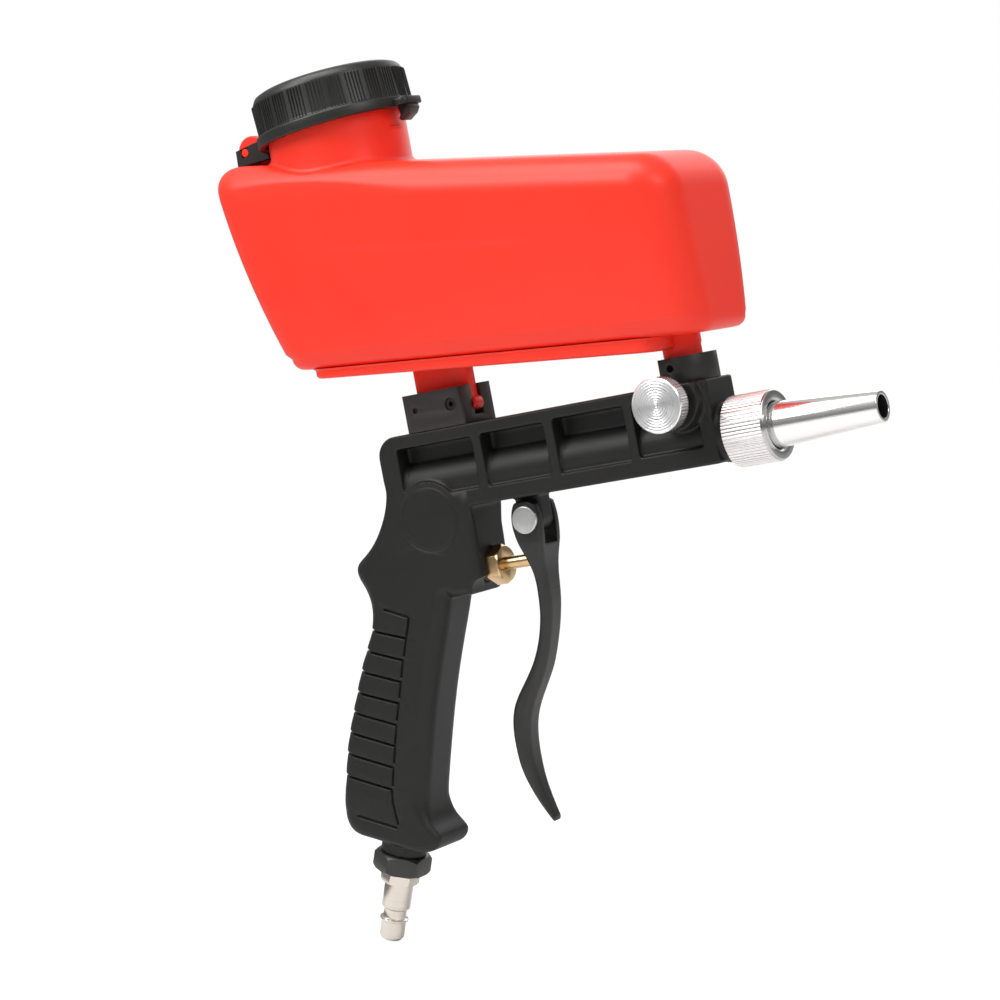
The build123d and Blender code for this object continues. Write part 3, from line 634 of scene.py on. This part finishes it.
def refined(mesh, wanted):
    """The mesh with the faces that a test picks cut once more."""
    shell = bmesh.new()
    shell.from_mesh(mesh)
    picked = set()
    for face in shell.faces:
        centre = face.calc_center_median() / MM
        if wanted(centre):
            picked.update(face.edges)
    bmesh.ops.subdivide_edges(shell, edges=list(picked), cuts=1, use_grid_fill=True)
    bmesh.ops.triangulate(shell, faces=[f for f in shell.faces if len(f.verts) > 4])
    shell.to_mesh(mesh)
    shell.free()
    return mesh


def near_pads(centre):
    """Whether a point lies in the ribbed back of the grip."""
    front = -223.0 - 0.27 * (-50 - centre.z) + 3.0
    return -141.5 < centre.z < -45 and centre.x < front


def vertex_normals(mesh):
    flat = np.empty(len(mesh.vertices) * 3)
    mesh.vertex_normals.foreach_get("vector", flat)
    return flat.reshape(-1, 3)


def build_frame_body():
    """The moulded frame and grip: rounded grip edges, grooved pads and a blank disc."""
    packed = merged_copy("gun_body", flat=False)
    starts, ends = rim_segments(packed, GRIP_HALF - GRIP_FILLET)
    skin = even_skin(packed, 0.62, 3)
    points = points_of(skin)
    flat = points[:, [0, 2]]
    # the grip's edges become full rounds, and keep the small one where the air inlet is
    gap = segment_distance(flat, starts, ends)
    levels, radii = np.array(GRIP_EDGE).T
    radius = np.interp(points[:, 2], levels, radii)
    now = edge_height(np.clip(gap, 0, GRIP_FILLET), GRIP_FILLET, GRIP_HALF)
    then = edge_height(gap, radius, GRIP_HALF)
    on_grip = (points[:, 0] < -190) & (points[:, 2] < 8)
    points[:, 1] *= np.where(on_grip, np.minimum(then / now, 1.0), 1.0)
    # the housing's front edge is softened clear of the valve's bore
    front_gap = segment_distance(flat, np.array(HOUSING_FRONT[:-1]), np.array(HOUSING_FRONT[1:]))
    soft = np.interp(points[:, 2], [-20, -11.5], [3.6, 0.2])
    spare = np.maximum(np.abs(points[:, 1]) - VALVE_CLEAR, 0)
    rounded = edge_height(front_gap, soft, GRIP_HALF) - VALVE_CLEAR
    eased_edge = VALVE_CLEAR + spare * rounded / (GRIP_HALF - VALVE_CLEAR)
    low_front = (points[:, 0] > -210) & (points[:, 0] < -180) & (points[:, 2] < -11) & (spare > 0)
    points[:, 1] = np.where(low_front, np.sign(points[:, 1]) * eased_edge, points[:, 1])
    # above the trigger it runs flush with the rail's sides
    widest = np.where(points[:, 0] < -180, np.interp(points[:, 2], [-34, -12], [GRIP_HALF, RAIL_HALF]), 50)
    points[:, 1] = np.clip(points[:, 1], -widest, widest)
    set_points(skin, points)
    skin = refined(skin, near_pads)
    points = points_of(skin)
    flat = points[:, [0, 2]]
    normals = vertex_normals(skin)
    on_side = smooth_step(np.abs(points[:, 1]), 8.0, 9.5)
    # grooves between the pads, which run on round the back
    depth = np.zeros(len(points))
    grooves = np.array(PAD_GROOVES)
    reach = grooves.copy()
    reach[1:9, 0] += (grooves[1:9, 0] - grooves[1:9, 1]) * 0.9
    cut = segment_distance(flat, reach[:, 0], reach[:, 1])
    depth += GROOVE_DEPTH * (1 - smooth_step(cut, 0.15, 0.8))
    fronts = np.array(PAD_FRONTS)
    line = segment_distance(flat, fronts[:, 0], fronts[:, 1])
    depth += GROOVE_DEPTH * (1 - smooth_step(line, 0.15, 0.8)) * on_side
    depth = np.minimum(depth, GROOVE_DEPTH)
    # each pad stands a little lower just under its groove
    for (rear, front) in PAD_GROOVES[1:9]:
        rear, front = np.array(rear), np.array(front)
        way = (front - rear) / np.hypot(*(front - rear))
        along = (flat - front) @ way
        under = (flat - front) @ np.array((way[1], -way[0]))
        behind = along < -0.6
        depth += np.where(behind & (under > 0) & (under < 6), 0.35 * (1 - under / 6), 0)
    points -= normals * (depth * near_mask(points))[:, None]
    # faint ring on the frame's side
    ring = np.abs(np.hypot(points[:, 0] - DISC_X, points[:, 2] - DISC_Z) - DISC_R)
    ring_depth = 0.4 * (1 - smooth_step(ring, 0.25, 0.75)) * smooth_step(np.abs(points[:, 1]), 11.6, 12.2)
    points[:, 1] -= np.sign(points[:, 1]) * ring_depth
    set_points(skin, points)
    skin = thinned(skin, 185000)
    return add_piece("frame_and_grip", skin, "gun", FRAME_NYLON, ["gun_body"], angle=70)


def near_mask(points):
    """1 on the outer skin of the grip, 0 inside its bores."""
    axis = np.hypot(points[:, 1], points[:, 2] + 37.0)
    in_valve = (axis < 7.5) & (points[:, 0] > -236)
    down = np.array(INLET_DOWN)
    offset = points - np.array(INLET_TOP)
    along = offset @ down
    from_inlet = np.linalg.norm(offset - along[:, None] * down, axis=1)
    in_inlet = (from_inlet < 5.0) & (along < 1)
    return np.where(in_valve | in_inlet, 0.0, 1.0) * (points[:, 2] < -40)


# --- trigger -------------------------------------------------------------------------
LEVER_HALF = ([30, 44, 60, 120, 146], [8.5, 7.0, 6.0, 5.4, 3.4])


def lever_rim(mesh):
    """The lever's sharp flank edges, in X and Z."""
    shell = bmesh.new()
    shell.from_mesh(mesh)
    starts, ends = [], []
    for edge in shell.edges:
        a, b = edge.verts[0].co / MM, edge.verts[1].co / MM
        if len(edge.link_faces) != 2 or edge.calc_face_angle(0) < 0.6 or a.y * b.y < 0:
            continue
        on_flank = all(abs(abs(p.y) - np.interp(-p.z, *LEVER_HALF)) < 0.06 for p in (a, b))
        if on_flank and min(math.hypot(p.x - PIVOT_X, p.z - PIVOT_Z) for p in (a, b)) > 4.0:
            starts.append((a.x, a.z))
            ends.append((b.x, b.z))
    shell.free()
    return np.array(starts), np.array(ends)


def build_lever():
    """The S-shaped lever with soft edges."""
    packed = merged_copy("trigger", flat=False)
    starts, ends = lever_rim(packed)
    skin = even_skin(packed, 0.36, 4)
    points = points_of(skin)
    half = np.interp(-points[:, 2], *LEVER_HALF)
    gap = segment_distance(points[:, [0, 2]], starts, ends)
    radius = np.interp(-points[:, 2], [12, 30, 46, 130, 146], [1.4, 1.8, 3.0, 2.8, 1.8])
    core = np.interp(-points[:, 2], [32, 36, 42, 44], [5.3, 4.1, 4.1, 0.0])
    outer = np.maximum(np.abs(points[:, 1]) - core, 0)
    shrink = (edge_height(gap, radius, half) - core) / (half - core)
    points[:, 1] = np.sign(points[:, 1]) * (np.minimum(np.abs(points[:, 1]), core) + outer * shrink)
    set_points(skin, points)
    return add_piece("trigger_lever", thinned(skin, 110000), "trigger", LEVER_NYLON, ["trigger"],
        angle=70)


# --- hopper --------------------------------------------------------------------------
OUTLINE_POINTS = 260
FLOOR_ROUND, TOP_ROUND = 5.0, 14.0


def top_z(x):
    return 146.6 - math.tan(math.radians(9.7)) * (x + 265.0)


def low_z(x):
    return 57.2 - math.tan(math.radians(5.0)) * (x + 250.0)


def rim_z(x):
    """Height of the neck's sloping rim."""
    along = LID_RIM - LID_LOW
    lean = LID_LEAN
    base_x, base_z = LID_X - along * math.sin(lean), LID_LOW + along * math.cos(lean)
    return base_z + math.tan(lean) * (x - base_x)


def box_at(share, inset):
    """Rear, front, half width and corner radius of the hopper at a share of its height."""
    bow = 4 * share * (1 - share)
    rear = -254.6 * (1 - share) - 273.4 * share - 2.4 * bow + inset
    front = -58.2 + 0.3 * bow - inset
    half = 25.4 * (1 - share) + 33.6 * share + 1.9 * bow - inset
    return rear, front, half, max(13.0 + 4.0 * share - inset, 1.5)


def rounded_outline(rear, front, half, corner, count=OUTLINE_POINTS):
    """Evenly spaced points round a rounded rectangle, as X and Y."""
    outline = []
    for centre_x, centre_y, start in ((front - corner, half - corner, 0), (rear + corner, half - corner, 90),
                                      (rear + corner, corner - half, 180), (front - corner, corner - half,
                                          270)):
        for k in range(17):
            turn = math.radians(start + 90 * k / 16)
            outline.append((centre_x + corner * math.cos(turn), centre_y + corner * math.sin(turn)))
    outline = np.array(outline + outline[:1])
    steps = np.r_[0, np.cumsum(np.hypot(*np.diff(outline, axis=0).T))]
    at = np.linspace(0, steps[-1], count, endpoint=False)
    return np.c_[np.interp(at, steps, outline[:, 0]), np.interp(at, steps, outline[:, 1])]


def hopper_outline(share, inset):
    return rounded_outline(*box_at(share, inset))


def inside_by(flat, share, inset):
    """How far points lie inside the hopper's outline."""
    rear, front, half, corner = box_at(share, inset)
    reach = np.abs(flat - np.array([(rear + front) / 2, 0])) - np.array([(front - rear) / 2 - corner,
        half - corner])
    outside = np.hypot(*np.maximum(reach, 0).T) + np.minimum(reach.max(1), 0)
    return corner - outside


def top_drop(flat, skin, round_radius):
    """How far the rounded top lies below its middle at each point."""
    result = np.full(len(flat), round_radius)
    last, last_drop = None, 0.0
    for drop in np.linspace(0, round_radius, 80):
        inset = round_radius - math.sqrt(round_radius ** 2 - (round_radius - drop) ** 2)
        room = inside_by(flat, 1 - drop / HOPPER_TALL, skin) - inset
        if last is None:
            result = np.where(room >= 0, 0.0, result)
        else:
            root = drop - (drop - last_drop) * room / np.where(room == last, 1, room - last)
            result = np.where((room >= 0) & (last < 0), root, result)
        last, last_drop = room, drop
    return result


def hopper_rows(skin, plinth):
    """Rows of points from the middle of the floor, up the walls, to the neck's rim."""
    rows = []
    low_round, top_round = FLOOR_ROUND - min(skin, 2.0), TOP_ROUND - min(skin, 2.4)
    floor = hopper_outline(0.0, skin + low_round)
    if plinth:
        foot = plinth_outline(0.0)
        for share in (0.12, 0.45, 0.8):
            flat = foot * share + np.array([FLOOR_MIDDLE, 0]) * (1 - share)
            rows.append(np.c_[flat, foot_z(flat[:, 0])])
        for turn in np.radians([0, 30, 60, 90]):
            edge = plinth_outline(1.4 * (1 - math.sin(turn)))
            rows.append(np.c_[edge, foot_z(edge[:, 0]) + 1.4 * (1 - math.cos(turn))])
        rows.append(np.c_[foot, low_z(foot[:, 0]) - 0.9])
        edge = plinth_outline(-0.9)
        rows.append(np.c_[edge, low_z(edge[:, 0])])
    else:
        for share in (0.15, 0.5, 0.8):
            flat = floor * share + np.array([FLOOR_MIDDLE, 0]) * (1 - share)
            rows.append(np.c_[flat, low_z(flat[:, 0]) + skin])
    for turn in np.radians([0, 18, 36, 54, 72, 90]):
        ring = hopper_outline(0.0, skin + low_round * (1 - math.sin(turn)))
        rows.append(np.c_[ring, low_z(ring[:, 0]) + skin + low_round * (1 - math.cos(turn))])
    for share in np.linspace(0.03, 1.0, 48):
        ring = hopper_outline(0.05 + (0.95 - TOP_ROUND / HOPPER_TALL) * share, skin)
        low = low_z(ring[:, 0]) + skin + low_round
        high = top_z(ring[:, 0]) - skin - top_round
        rows.append(np.c_[ring, low + (high - low) * share])
    radius, blend = NECK_R - skin, 2.4
    keep_out = radius + blend
    centre = np.array([NECK_X, 0])
    columns = rows[-1][:, :2] - centre
    way = columns / np.hypot(*columns.T)[:, None]

    def above(flat, lift=0.0):
        shoulder = 0.55 + 0.45 * smooth_step(np.hypot(*(flat - centre).T), keep_out - 6, keep_out + 34)
        return np.c_[flat, top_z(flat[:, 0]) - skin - top_drop(flat, skin, top_round) * shoulder + lift]

    for turn in np.radians([6, 12, 18, 25, 32, 40, 48, 57, 67, 78, 90]):
        drop = top_round * (1 - math.sin(turn))
        flat = hopper_outline(1 - drop / HOPPER_TALL, skin + top_round * (1 - math.cos(turn)))
        off = flat - centre
        near = np.hypot(*off.T)
        flat = np.where((near < keep_out)[:, None], centre + way * keep_out, flat)
        rows.append(above(flat))
    edge = rows[-1][:, :2]
    for share in (0.2, 0.4, 0.6, 0.8, 1.0):
        rows.append(above(edge * (1 - share) + (centre + way * keep_out) * share))
    for turn in np.radians([22, 45, 67, 90]):
        flat = centre + way * (radius + blend * (1 - math.sin(turn)))
        base = above(centre + way * keep_out, blend * (1 - math.cos(turn)))
        rows.append(np.c_[flat, base[:, 2]])
    flat = rows[-1][:, :2]
    rim = rim_z(flat[:, 0])
    base = rows[-1][:, 2]
    for share in (0.25, 0.5, 0.75, 1.0):
        rows.append(np.c_[flat, base + (rim - 0.6 - base) * share])
    lip = radius + (-0.6 if skin == 0 else 0.6)
    rows.append(np.c_[centre + way * lip, rim])
    return rows


def foot_z(x):
    """Underside of the stepped foot."""
    return low_z(x) - 5.0 - math.tan(math.radians(0.6)) * (x - FLOOR_MIDDLE)


def plinth_outline(inset):
    return rounded_outline(-243.6 + inset, -80.0 - inset, 23.0 - inset, 9.0 - inset)


def rounded_bar(name, low, high, axis, corner, edge=0.5):
    """A bar with rounded corners about an axis and eased ends."""
    shell = bmesh.new()
    bmesh.ops.create_cube(shell, size=1.0)
    low, high = np.array(low, float), np.array(high, float)
    for vertex in shell.verts:
        vertex.co = Vector(((np.array(vertex.co) + 0.5) * (high - low) + low) * MM)
    long_edges = [e for e in shell.edges if abs((e.verts[0].co - e.verts[1].co)[axis]) > 1e-6]
    bmesh.ops.bevel(shell, geom=long_edges, offset=corner * MM, segments=6, affect="EDGES", profile=0.5)
    ends = [e for e in shell.edges if len(e.link_faces) == 2
        and any(abs(f.normal[axis]) > 0.99 for f in e.link_faces)
            and not all(abs(f.normal[axis]) > 0.99 for f in e.link_faces)]
    bmesh.ops.bevel(shell, geom=ends, offset=edge * MM, segments=2, affect="EDGES", profile=0.5)
    bmesh.ops.recalc_face_normals(shell, faces=shell.faces)
    return mesh_of(shell, name)


def cross_bar(name, x, z, half, radius, segments, soft):
    """A round bar along Y, centred on the gun's middle plane."""
    profile = [(0, 0), (0, radius), (2 * half, radius), (2 * half, 0)]
    return lathe(name, profile, placed_axis((x, -half, z), (0, 1, 0)), segments, soft=soft)


def build_hopper():
    """Blow-moulded hopper: a closed shell with a neck, a stepped foot, a panel and its mounts."""
    outer, inner = hopper_rows(0.0, True), hopper_rows(WALL, False)
    rows = outer + inner[::-1]
    count = len(rows[0])
    points = np.concatenate(rows)
    outer_count = len(outer) * count
    # a shallow panel pressed into each side
    x, y, z = points[:outer_count].T
    line_top, line_low = 104.0 - 0.149 * (x + 223), 70.6 + 0.098 * (x + 221.7)
    panel = (smooth_step(x, -226, -214) * (1 - smooth_step(x, -128, -108))
             * smooth_step(z, line_low - 4, line_low + 12)
             * (1 - smooth_step(z, line_top - 1.6, line_top + 1.2)) * smooth_step(np.abs(y), 20, 26))
    points[:outer_count, 1] -= np.sign(y) * 0.4 * panel
    faces = []
    for i in range(len(rows) - 1):
        for k in range(count):
            a, b = i * count + k, i * count + (k + 1) % count
            faces.append((a, b, b + count, a + count))
    faces.append(tuple(range(count))[::-1])
    faces.append(tuple(range((len(rows) - 1) * count, len(rows) * count)))
    shell = mesh_from("hopper_shell", points, faces)
    upright = placed_axis((FEED_X, 0, 0), (0, 0, 1))
    spout = lathe("spout", [(26.0, 5.2), (26.0, 7.8), (44.0, 7.8), (44.0, 5.2)], upright, 64, soft=0.5)
    tab = rounded_bar("rear_tab", (-205.3, -3.2, 27.4), (-179.7, 3.2, 55.0), 1, 2.9, 0.4)
    tab_boss = cross_bar("tab_boss", -180.7, 30.5, 3.2, 3.1, 48, 0.5)
    lug = cross_bar("hinge_lug", HINGE_X, HINGE_Z, 3.2, 7.0, 64, 0.6)
    root = rounded_bar("lug_root", (HINGE_X - 7.0, -3.2, 136.0), (HINGE_X + 7.0, 3.2, HINGE_Z), 2, 0.5, 0.2)
    nibs = cross_bar("hinge_nibs", HINGE_X, HINGE_Z, 8.4, 1.8, 32, 0.3)
    bead = rounded_bar("neck_bead", (-194.6, -3.8, 147.7), (-191.9, 3.8, 148.9), 1, 0.5, 0.3)
    whole = joined("hopper", [shell, spout, tab, tab_boss, lug, root, nibs, bead])
    return add_piece("hopper_tank", whole, "gun", HOPPER_RED, ["hopper"], angle=40)


# --- lid -----------------------------------------------------------------------------
def build_lid():
    """Fluted snap lid with a flat band, thumb tab, catch and hinge yoke."""
    profile = [(152.6, 31.2), (152.6, 34.4), (157.2, 34.4), (157.5, 32.75), (171.0, 32.3), (173.4, 31.0),
        (174.6, 28.0),
               (174.6, 0), (172.2, 0), (172.2, 31.2)]
    cap = lathe("cap", profile, LID_AXIS, 160, soft=0.9)
    coarse = rib_ring("flutes", LID_AXIS, CAP_PLASTIC, 144, 32.65, 12.6, 0.62, 0.42, 164.0, in_group=6, gap=1)
    fine = rib_ring("band_line", LID_AXIS, CAP_PLASTIC, 72, 34.3, 3.2, 0.5, 0.1, 155.0, in_group=36, gap=34)
    tab = rounded_bar("thumb_tab", (LID_X + 32.0, -7.0, 152.8), (-181.4, 7.0, 155.8), 2, 2.5, 0.5)
    outline = [(-188.2, 154.2), (-182.8, 154.2), (-182.0, 151.0), (-183.6, 148.9), (-187.8, 146.8),
        (-188.6, 147.8), (-187.4, 149.4)]
    catch = side_plate("catch", outline, -4.0, 4.0, 0.5)
    rear = [(-269.2, 151.2), (-252.6, 150.2), (-252.6, 158.6), (-256.7, 158.6), (-268.3, 157.8)]
    cheeks = []
    lean = LID_LEAN
    hole_x = LID_X + (HINGE_X - LID_X) * math.cos(lean) + (HINGE_Z - LID_LOW) * math.sin(lean)
    hole_z = LID_LOW - (HINGE_X - LID_X) * math.sin(lean) + (HINGE_Z - LID_LOW) * math.cos(lean)
    for low, high in ((-8.6, -3.6), (3.6, 8.6)):
        cheeks.append(holed_plate("cheek", rear, low, high, (hole_x, hole_z), 1.85))
    bridge = side_plate("bridge", [(-256.6, 150.4), (-252.6, 150.2), (-252.6, 158.6), (-256.6, 158.6)],
        -3.8, 3.8, 0.2)
    metres = LID_AXIS @ Matrix.Translation((-LID_X, 0, 0))
    metres.translation *= MM
    parts = [tab, catch, bridge, *cheeks]
    for mesh in parts:
        mesh.transform(metres)
    whole = joined("lid", [cap, coarse, fine, *parts])
    return add_piece("hinged_lid", whole, "lid", CAP_PLASTIC, ["lid"], angle=32)


def side_plate(name, outline, low, high, edge):
    """A plate drawn in X and Z with eased edges."""
    shell = bmesh.new()
    near = [shell.verts.new(Vector((x, low, z)) * MM) for x, z in outline]
    far = [shell.verts.new(Vector((x, high, z)) * MM) for x, z in outline]
    shell.faces.new(near)
    shell.faces.new(far[::-1])
    for i in range(len(outline)):
        j = (i + 1) % len(outline)
        shell.faces.new((near[j], near[i], far[i], far[j]))
    bmesh.ops.recalc_face_normals(shell, faces=shell.faces)
    bmesh.ops.bevel(shell, geom=list(shell.edges), offset=edge * MM, segments=2, affect="EDGES", profile=0.5)
    return mesh_of(shell, name)


def holed_plate(name, outline, low, high, centre, half):
    """A plate in X and Z with a square hole through it."""
    corners = [(centre[0] + sx * half, centre[1] + sz * half) for sx,
        sz in ((-1, -1), (1, -1), (1, 1), (-1, 1))]
    shell = bmesh.new()
    rings = {}
    for level in (low, high):
        rings[level] = ([shell.verts.new(Vector((x, level, z)) * MM) for x, z in outline],
                        [shell.verts.new(Vector((x, level, z)) * MM) for x, z in corners])
    for level in (low, high):
        outer, inner = rings[level]
        edges = [shell.edges.new((ring[i], ring[(i + 1) % len(ring)])) for ring in (outer, inner)
            for i in range(len(ring))]
        bmesh.ops.triangle_fill(shell, use_beauty=True, use_dissolve=False, edges=edges)
    for part in (0, 1):
        near, far = rings[low][part], rings[high][part]
        for i in range(len(near)):
            j = (i + 1) % len(near)
            shell.faces.new((near[i], near[j], far[j], far[i]))
    bmesh.ops.recalc_face_normals(shell, faces=shell.faces)
    return mesh_of(shell, name)


# --- nozzle, nut and knob ----------------------------------------------------------------
def build_barrel_end():
    """Polished nozzle, its knurled nut and the lip inside the nut."""
    outside = [(-51.6, 4.4), (-51.6, 10.6), (-48.4, 10.6), (-48.4, 9.1), (-43.0, 9.1), (0, 6.18)]
    bore = [(0, 4.6), (-5.0, 4.6), (-5.0, 4.4), (-16, 3.0), (-30, 3.0)]
    nozzle = lathe("nozzle", outside + bore, BARREL, 128, soft=0.35)
    add_piece("nozzle_cone", nozzle, "gun", NOZZLE_STEEL, ["nozzle"], angle=30)
    collar = [(-64.3, 11.66), (-64.3, 13.2), (-63.4, 13.98), (-45.4, 13.98), (-45.0, 13.6), (-45.0, 10.6),
        (-45.8, 9.5),
              (-48.1, 9.5), (-48.1, 11.66)]
    body = lathe("nut_body", collar, BARREL, 128, soft=0.2)
    knurl = rib_ring("nut_knurl", BARREL, NUT_ALUMINIUM, 64, 13.72, 17.2, 1.18, 0.56, -54.7)
    # the nut's body takes the face finish, whose darker grey is partly painted shade
    add_piece("nozzle_lock_nut", body, "nozzle_nut", NUT_FACE, ["nozzle_nut"], angle=30)
    add_piece("lock_nut_knurl", knurl, "nozzle_nut", NUT_ALUMINIUM, angle=30)


def build_knob():
    """Turned metering knob with a knurled rim."""
    face = [(22.8, 0), (22.8, 10.3), (23.3, 10.6), (29.0, 10.6), (29.15, 10.9), (29.6, 10.9), (30.0, 10.5)]
    # the face keeps the fine ridges of its turning tool
    for k in range(80):
        ridge = 0.125 * (0.28 + 0.17 * math.sin(2.4 * k)) * (k % 2)
        face.append((29.97 - ridge, 10.3 - 0.125 * k))
    face.append((29.97, 0))
    body = lathe("knob_body", face, KNOB_AXIS, 112)
    knurl = rib_ring("knob_knurl", KNOB_AXIS, KNOB_ALUMINIUM, 58, 10.5, 5.6, 0.76, 0.48, 26.1)
    add_piece("metering_knob", joined("knob", [body, knurl]), "flow_knob", KNOB_ALUMINIUM, ["flow_knob"],
              angle=30)


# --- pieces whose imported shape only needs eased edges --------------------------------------
EASED = [
    ("quick_plug", "air_plug", "gun", NICKEL, "nickel_plate", 0.14),
    ("inlet_nut", "inlet_lock_nut", "gun", NUT_PLASTIC, "black_nut", 0.3),
    ("valve_gland", "gland_nut", "gun", BRASS, "brass", 0.14),
    ("valve_stem", "push_rod", "valve", BRASS, "brass", 0.1),
    ("rear_bracket", "hopper_bracket", "gun", BRACKET_PLASTIC, "black_mount", 0.35),
    ("hopper_socket", "hopper_collar", "gun", COLLAR_PLASTIC, "black_mount", 0.4),
    ("trigger_pin", "pivot_pin", "trigger", PIN_STEEL, "pin_steel", 0.12),
    ("pin_washer", "pivot_washer", "trigger", PIN_STEEL, "pin_steel", 0.15),
    ("pin_rivet", "pivot_rivet", "trigger", PIN_STEEL, "pin_steel", 0.5),
]


def build_eased_pieces():
    for packed, name, body, material, slot, width in EASED:
        add_piece(name, eased(packed, width), body, material, [packed], angle=30)


def build_spring():
    """Return spring, baked in place in the chamber; it rides on no body."""
    spring = add_piece("return_spring", merged_copy("valve_spring", flat=False), None, PLAIN_STEEL,
        ["valve_spring"],
                       angle=60)
    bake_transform(spring)


def finish_packed_nodes():
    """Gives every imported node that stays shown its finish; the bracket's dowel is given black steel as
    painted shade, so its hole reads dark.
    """
    for name, piece in NODES.items():
        for holder in piece.material_slots:
            wanted = FINISHES[holder.material.name.split(".")[0]] if holder.material else FRAME_NYLON
            holder.link = "OBJECT"
            # black steel on the dowel is painted shade in the bracket's hole
            holder.material = BLACK_STEEL if name == "bracket_dowel" else wanted


# --- camera, light and floor ---------------------------------------------------------------
def add_camera():
    data = bpy.data.cameras.new("camera")
    data.lens = 114.25
    data.sensor_width = 36.0
    data.clip_start, data.clip_end = 0.05, 30.0
    camera = linked("camera", data)
    turn = Matrix(((0.838886, 0.142773, 0.525248), (0.511753, 0.121837, -0.850450),
        (-0.185416, 0.982228, 0.029143)))
    camera.matrix_world = Matrix.Translation((0.509077, -1.110734, 0.027250)) @ turn.to_4x4()
    bpy.context.scene.camera = camera


def add_softbox(name, place, target, width, height, power, colour=(1, 1, 1)):
    data = bpy.data.lights.new(name, "AREA")
    data.shape = "RECTANGLE"
    data.size, data.size_y = width, height
    data.energy = power
    data.color = colour
    lamp = linked(name, data)
    aim = Vector(target) - Vector(place)
    lamp.matrix_world = Matrix.Translation(place) @ aim.to_track_quat("-Z", "Y").to_matrix().to_4x4()


def add_light():
    middle = (-0.14, 0, 0)
    add_softbox("overhead", (-0.2, -0.3, 1.1), middle, 0.9, 0.6, 9)
    add_softbox("front_left", (-0.7, -0.95, 1.0), middle, 0.7, 0.6, 10)
    add_softbox("front_right", (1.1, -0.45, 0.8), middle, 0.5, 0.6, 5)
    add_softbox("behind", (-0.3, 1.1, 0.5), middle, 1.2, 0.7, 4)
    world = bpy.data.worlds.new("studio")
    bpy.context.scene.world = world
    world.use_nodes = True
    tree = world.node_tree
    tree.nodes.clear()
    place = node(tree, "TexCoord").outputs["Generated"]
    height = node(tree, "SeparateXYZ", Vector=place).outputs[2]
    glow = node(tree, "MapRange", Value=height, From_Min=-0.1, From_Max=0.9, To_Min=0.14,
        To_Max=0.6).outputs[0]
    seen = node(tree, "LightPath").outputs["Is Camera Ray"]
    level = node(tree, "Mix", {"data_type": "FLOAT"}, n0=seen, n2=glow, n3=1.0).outputs[0]
    backdrop = node(tree, "Background", Strength=level)
    backdrop.inputs["Color"].default_value = (1, 1, 1, 1)
    out = node(tree, "OutputWorld")
    tree.links.new(backdrop.outputs[0], out.inputs[0])
    bpy.context.scene.view_settings.view_transform = "Standard"


def add_floor():
    """A pale paper floor, bright enough to meet the white studio."""
    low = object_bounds()[0].z - 0.0005
    mesh = bpy.data.meshes.new("floor")
    reach = 8.0
    mesh.from_pydata([(-reach, -reach, low), (reach, -reach, low), (reach, reach, low),
        (-reach, reach, low)], [], [(0, 1, 2, 3)])
    material, tree, shader = new_material("floor_paper", Base_Color=(0.8, 0.8, 0.8, 1), Roughness=0.9)
    paper = use_group(tree, MOULDED_GRAIN, Grain_Size=300.0, Cloud_Size=2.0, Contrast=0.5)
    tree.links.new(mixed(tree, paper.outputs["Cloud"], (0.78, 0.78, 0.78, 1), (0.82, 0.82, 0.82, 1)),
        shader.inputs["Base Color"])
    lit = node(tree, "Emission", Strength=1.15)
    lit.inputs["Color"].default_value = (1, 1, 1, 1)
    seen = math_node(tree, "MULTIPLY", node(tree, "LightPath").outputs["Is Camera Ray"], 0.84)
    both = node(tree, "MixShader", n0=seen, n1=shader.outputs[0], n2=lit.outputs[0])
    tree.links.new(both.outputs[0], tree.nodes["Material Output"].inputs[0])
    mesh.materials.append(material)
    floor = linked("floor", mesh)


def main():
    finish_packed_nodes()
    build_frame_body()
    build_lever()
    build_hopper()
    build_lid()
    build_barrel_end()
    build_knob()
    build_eased_pieces()
    build_spring()
    add_camera()
    add_light()
    add_floor()


main()
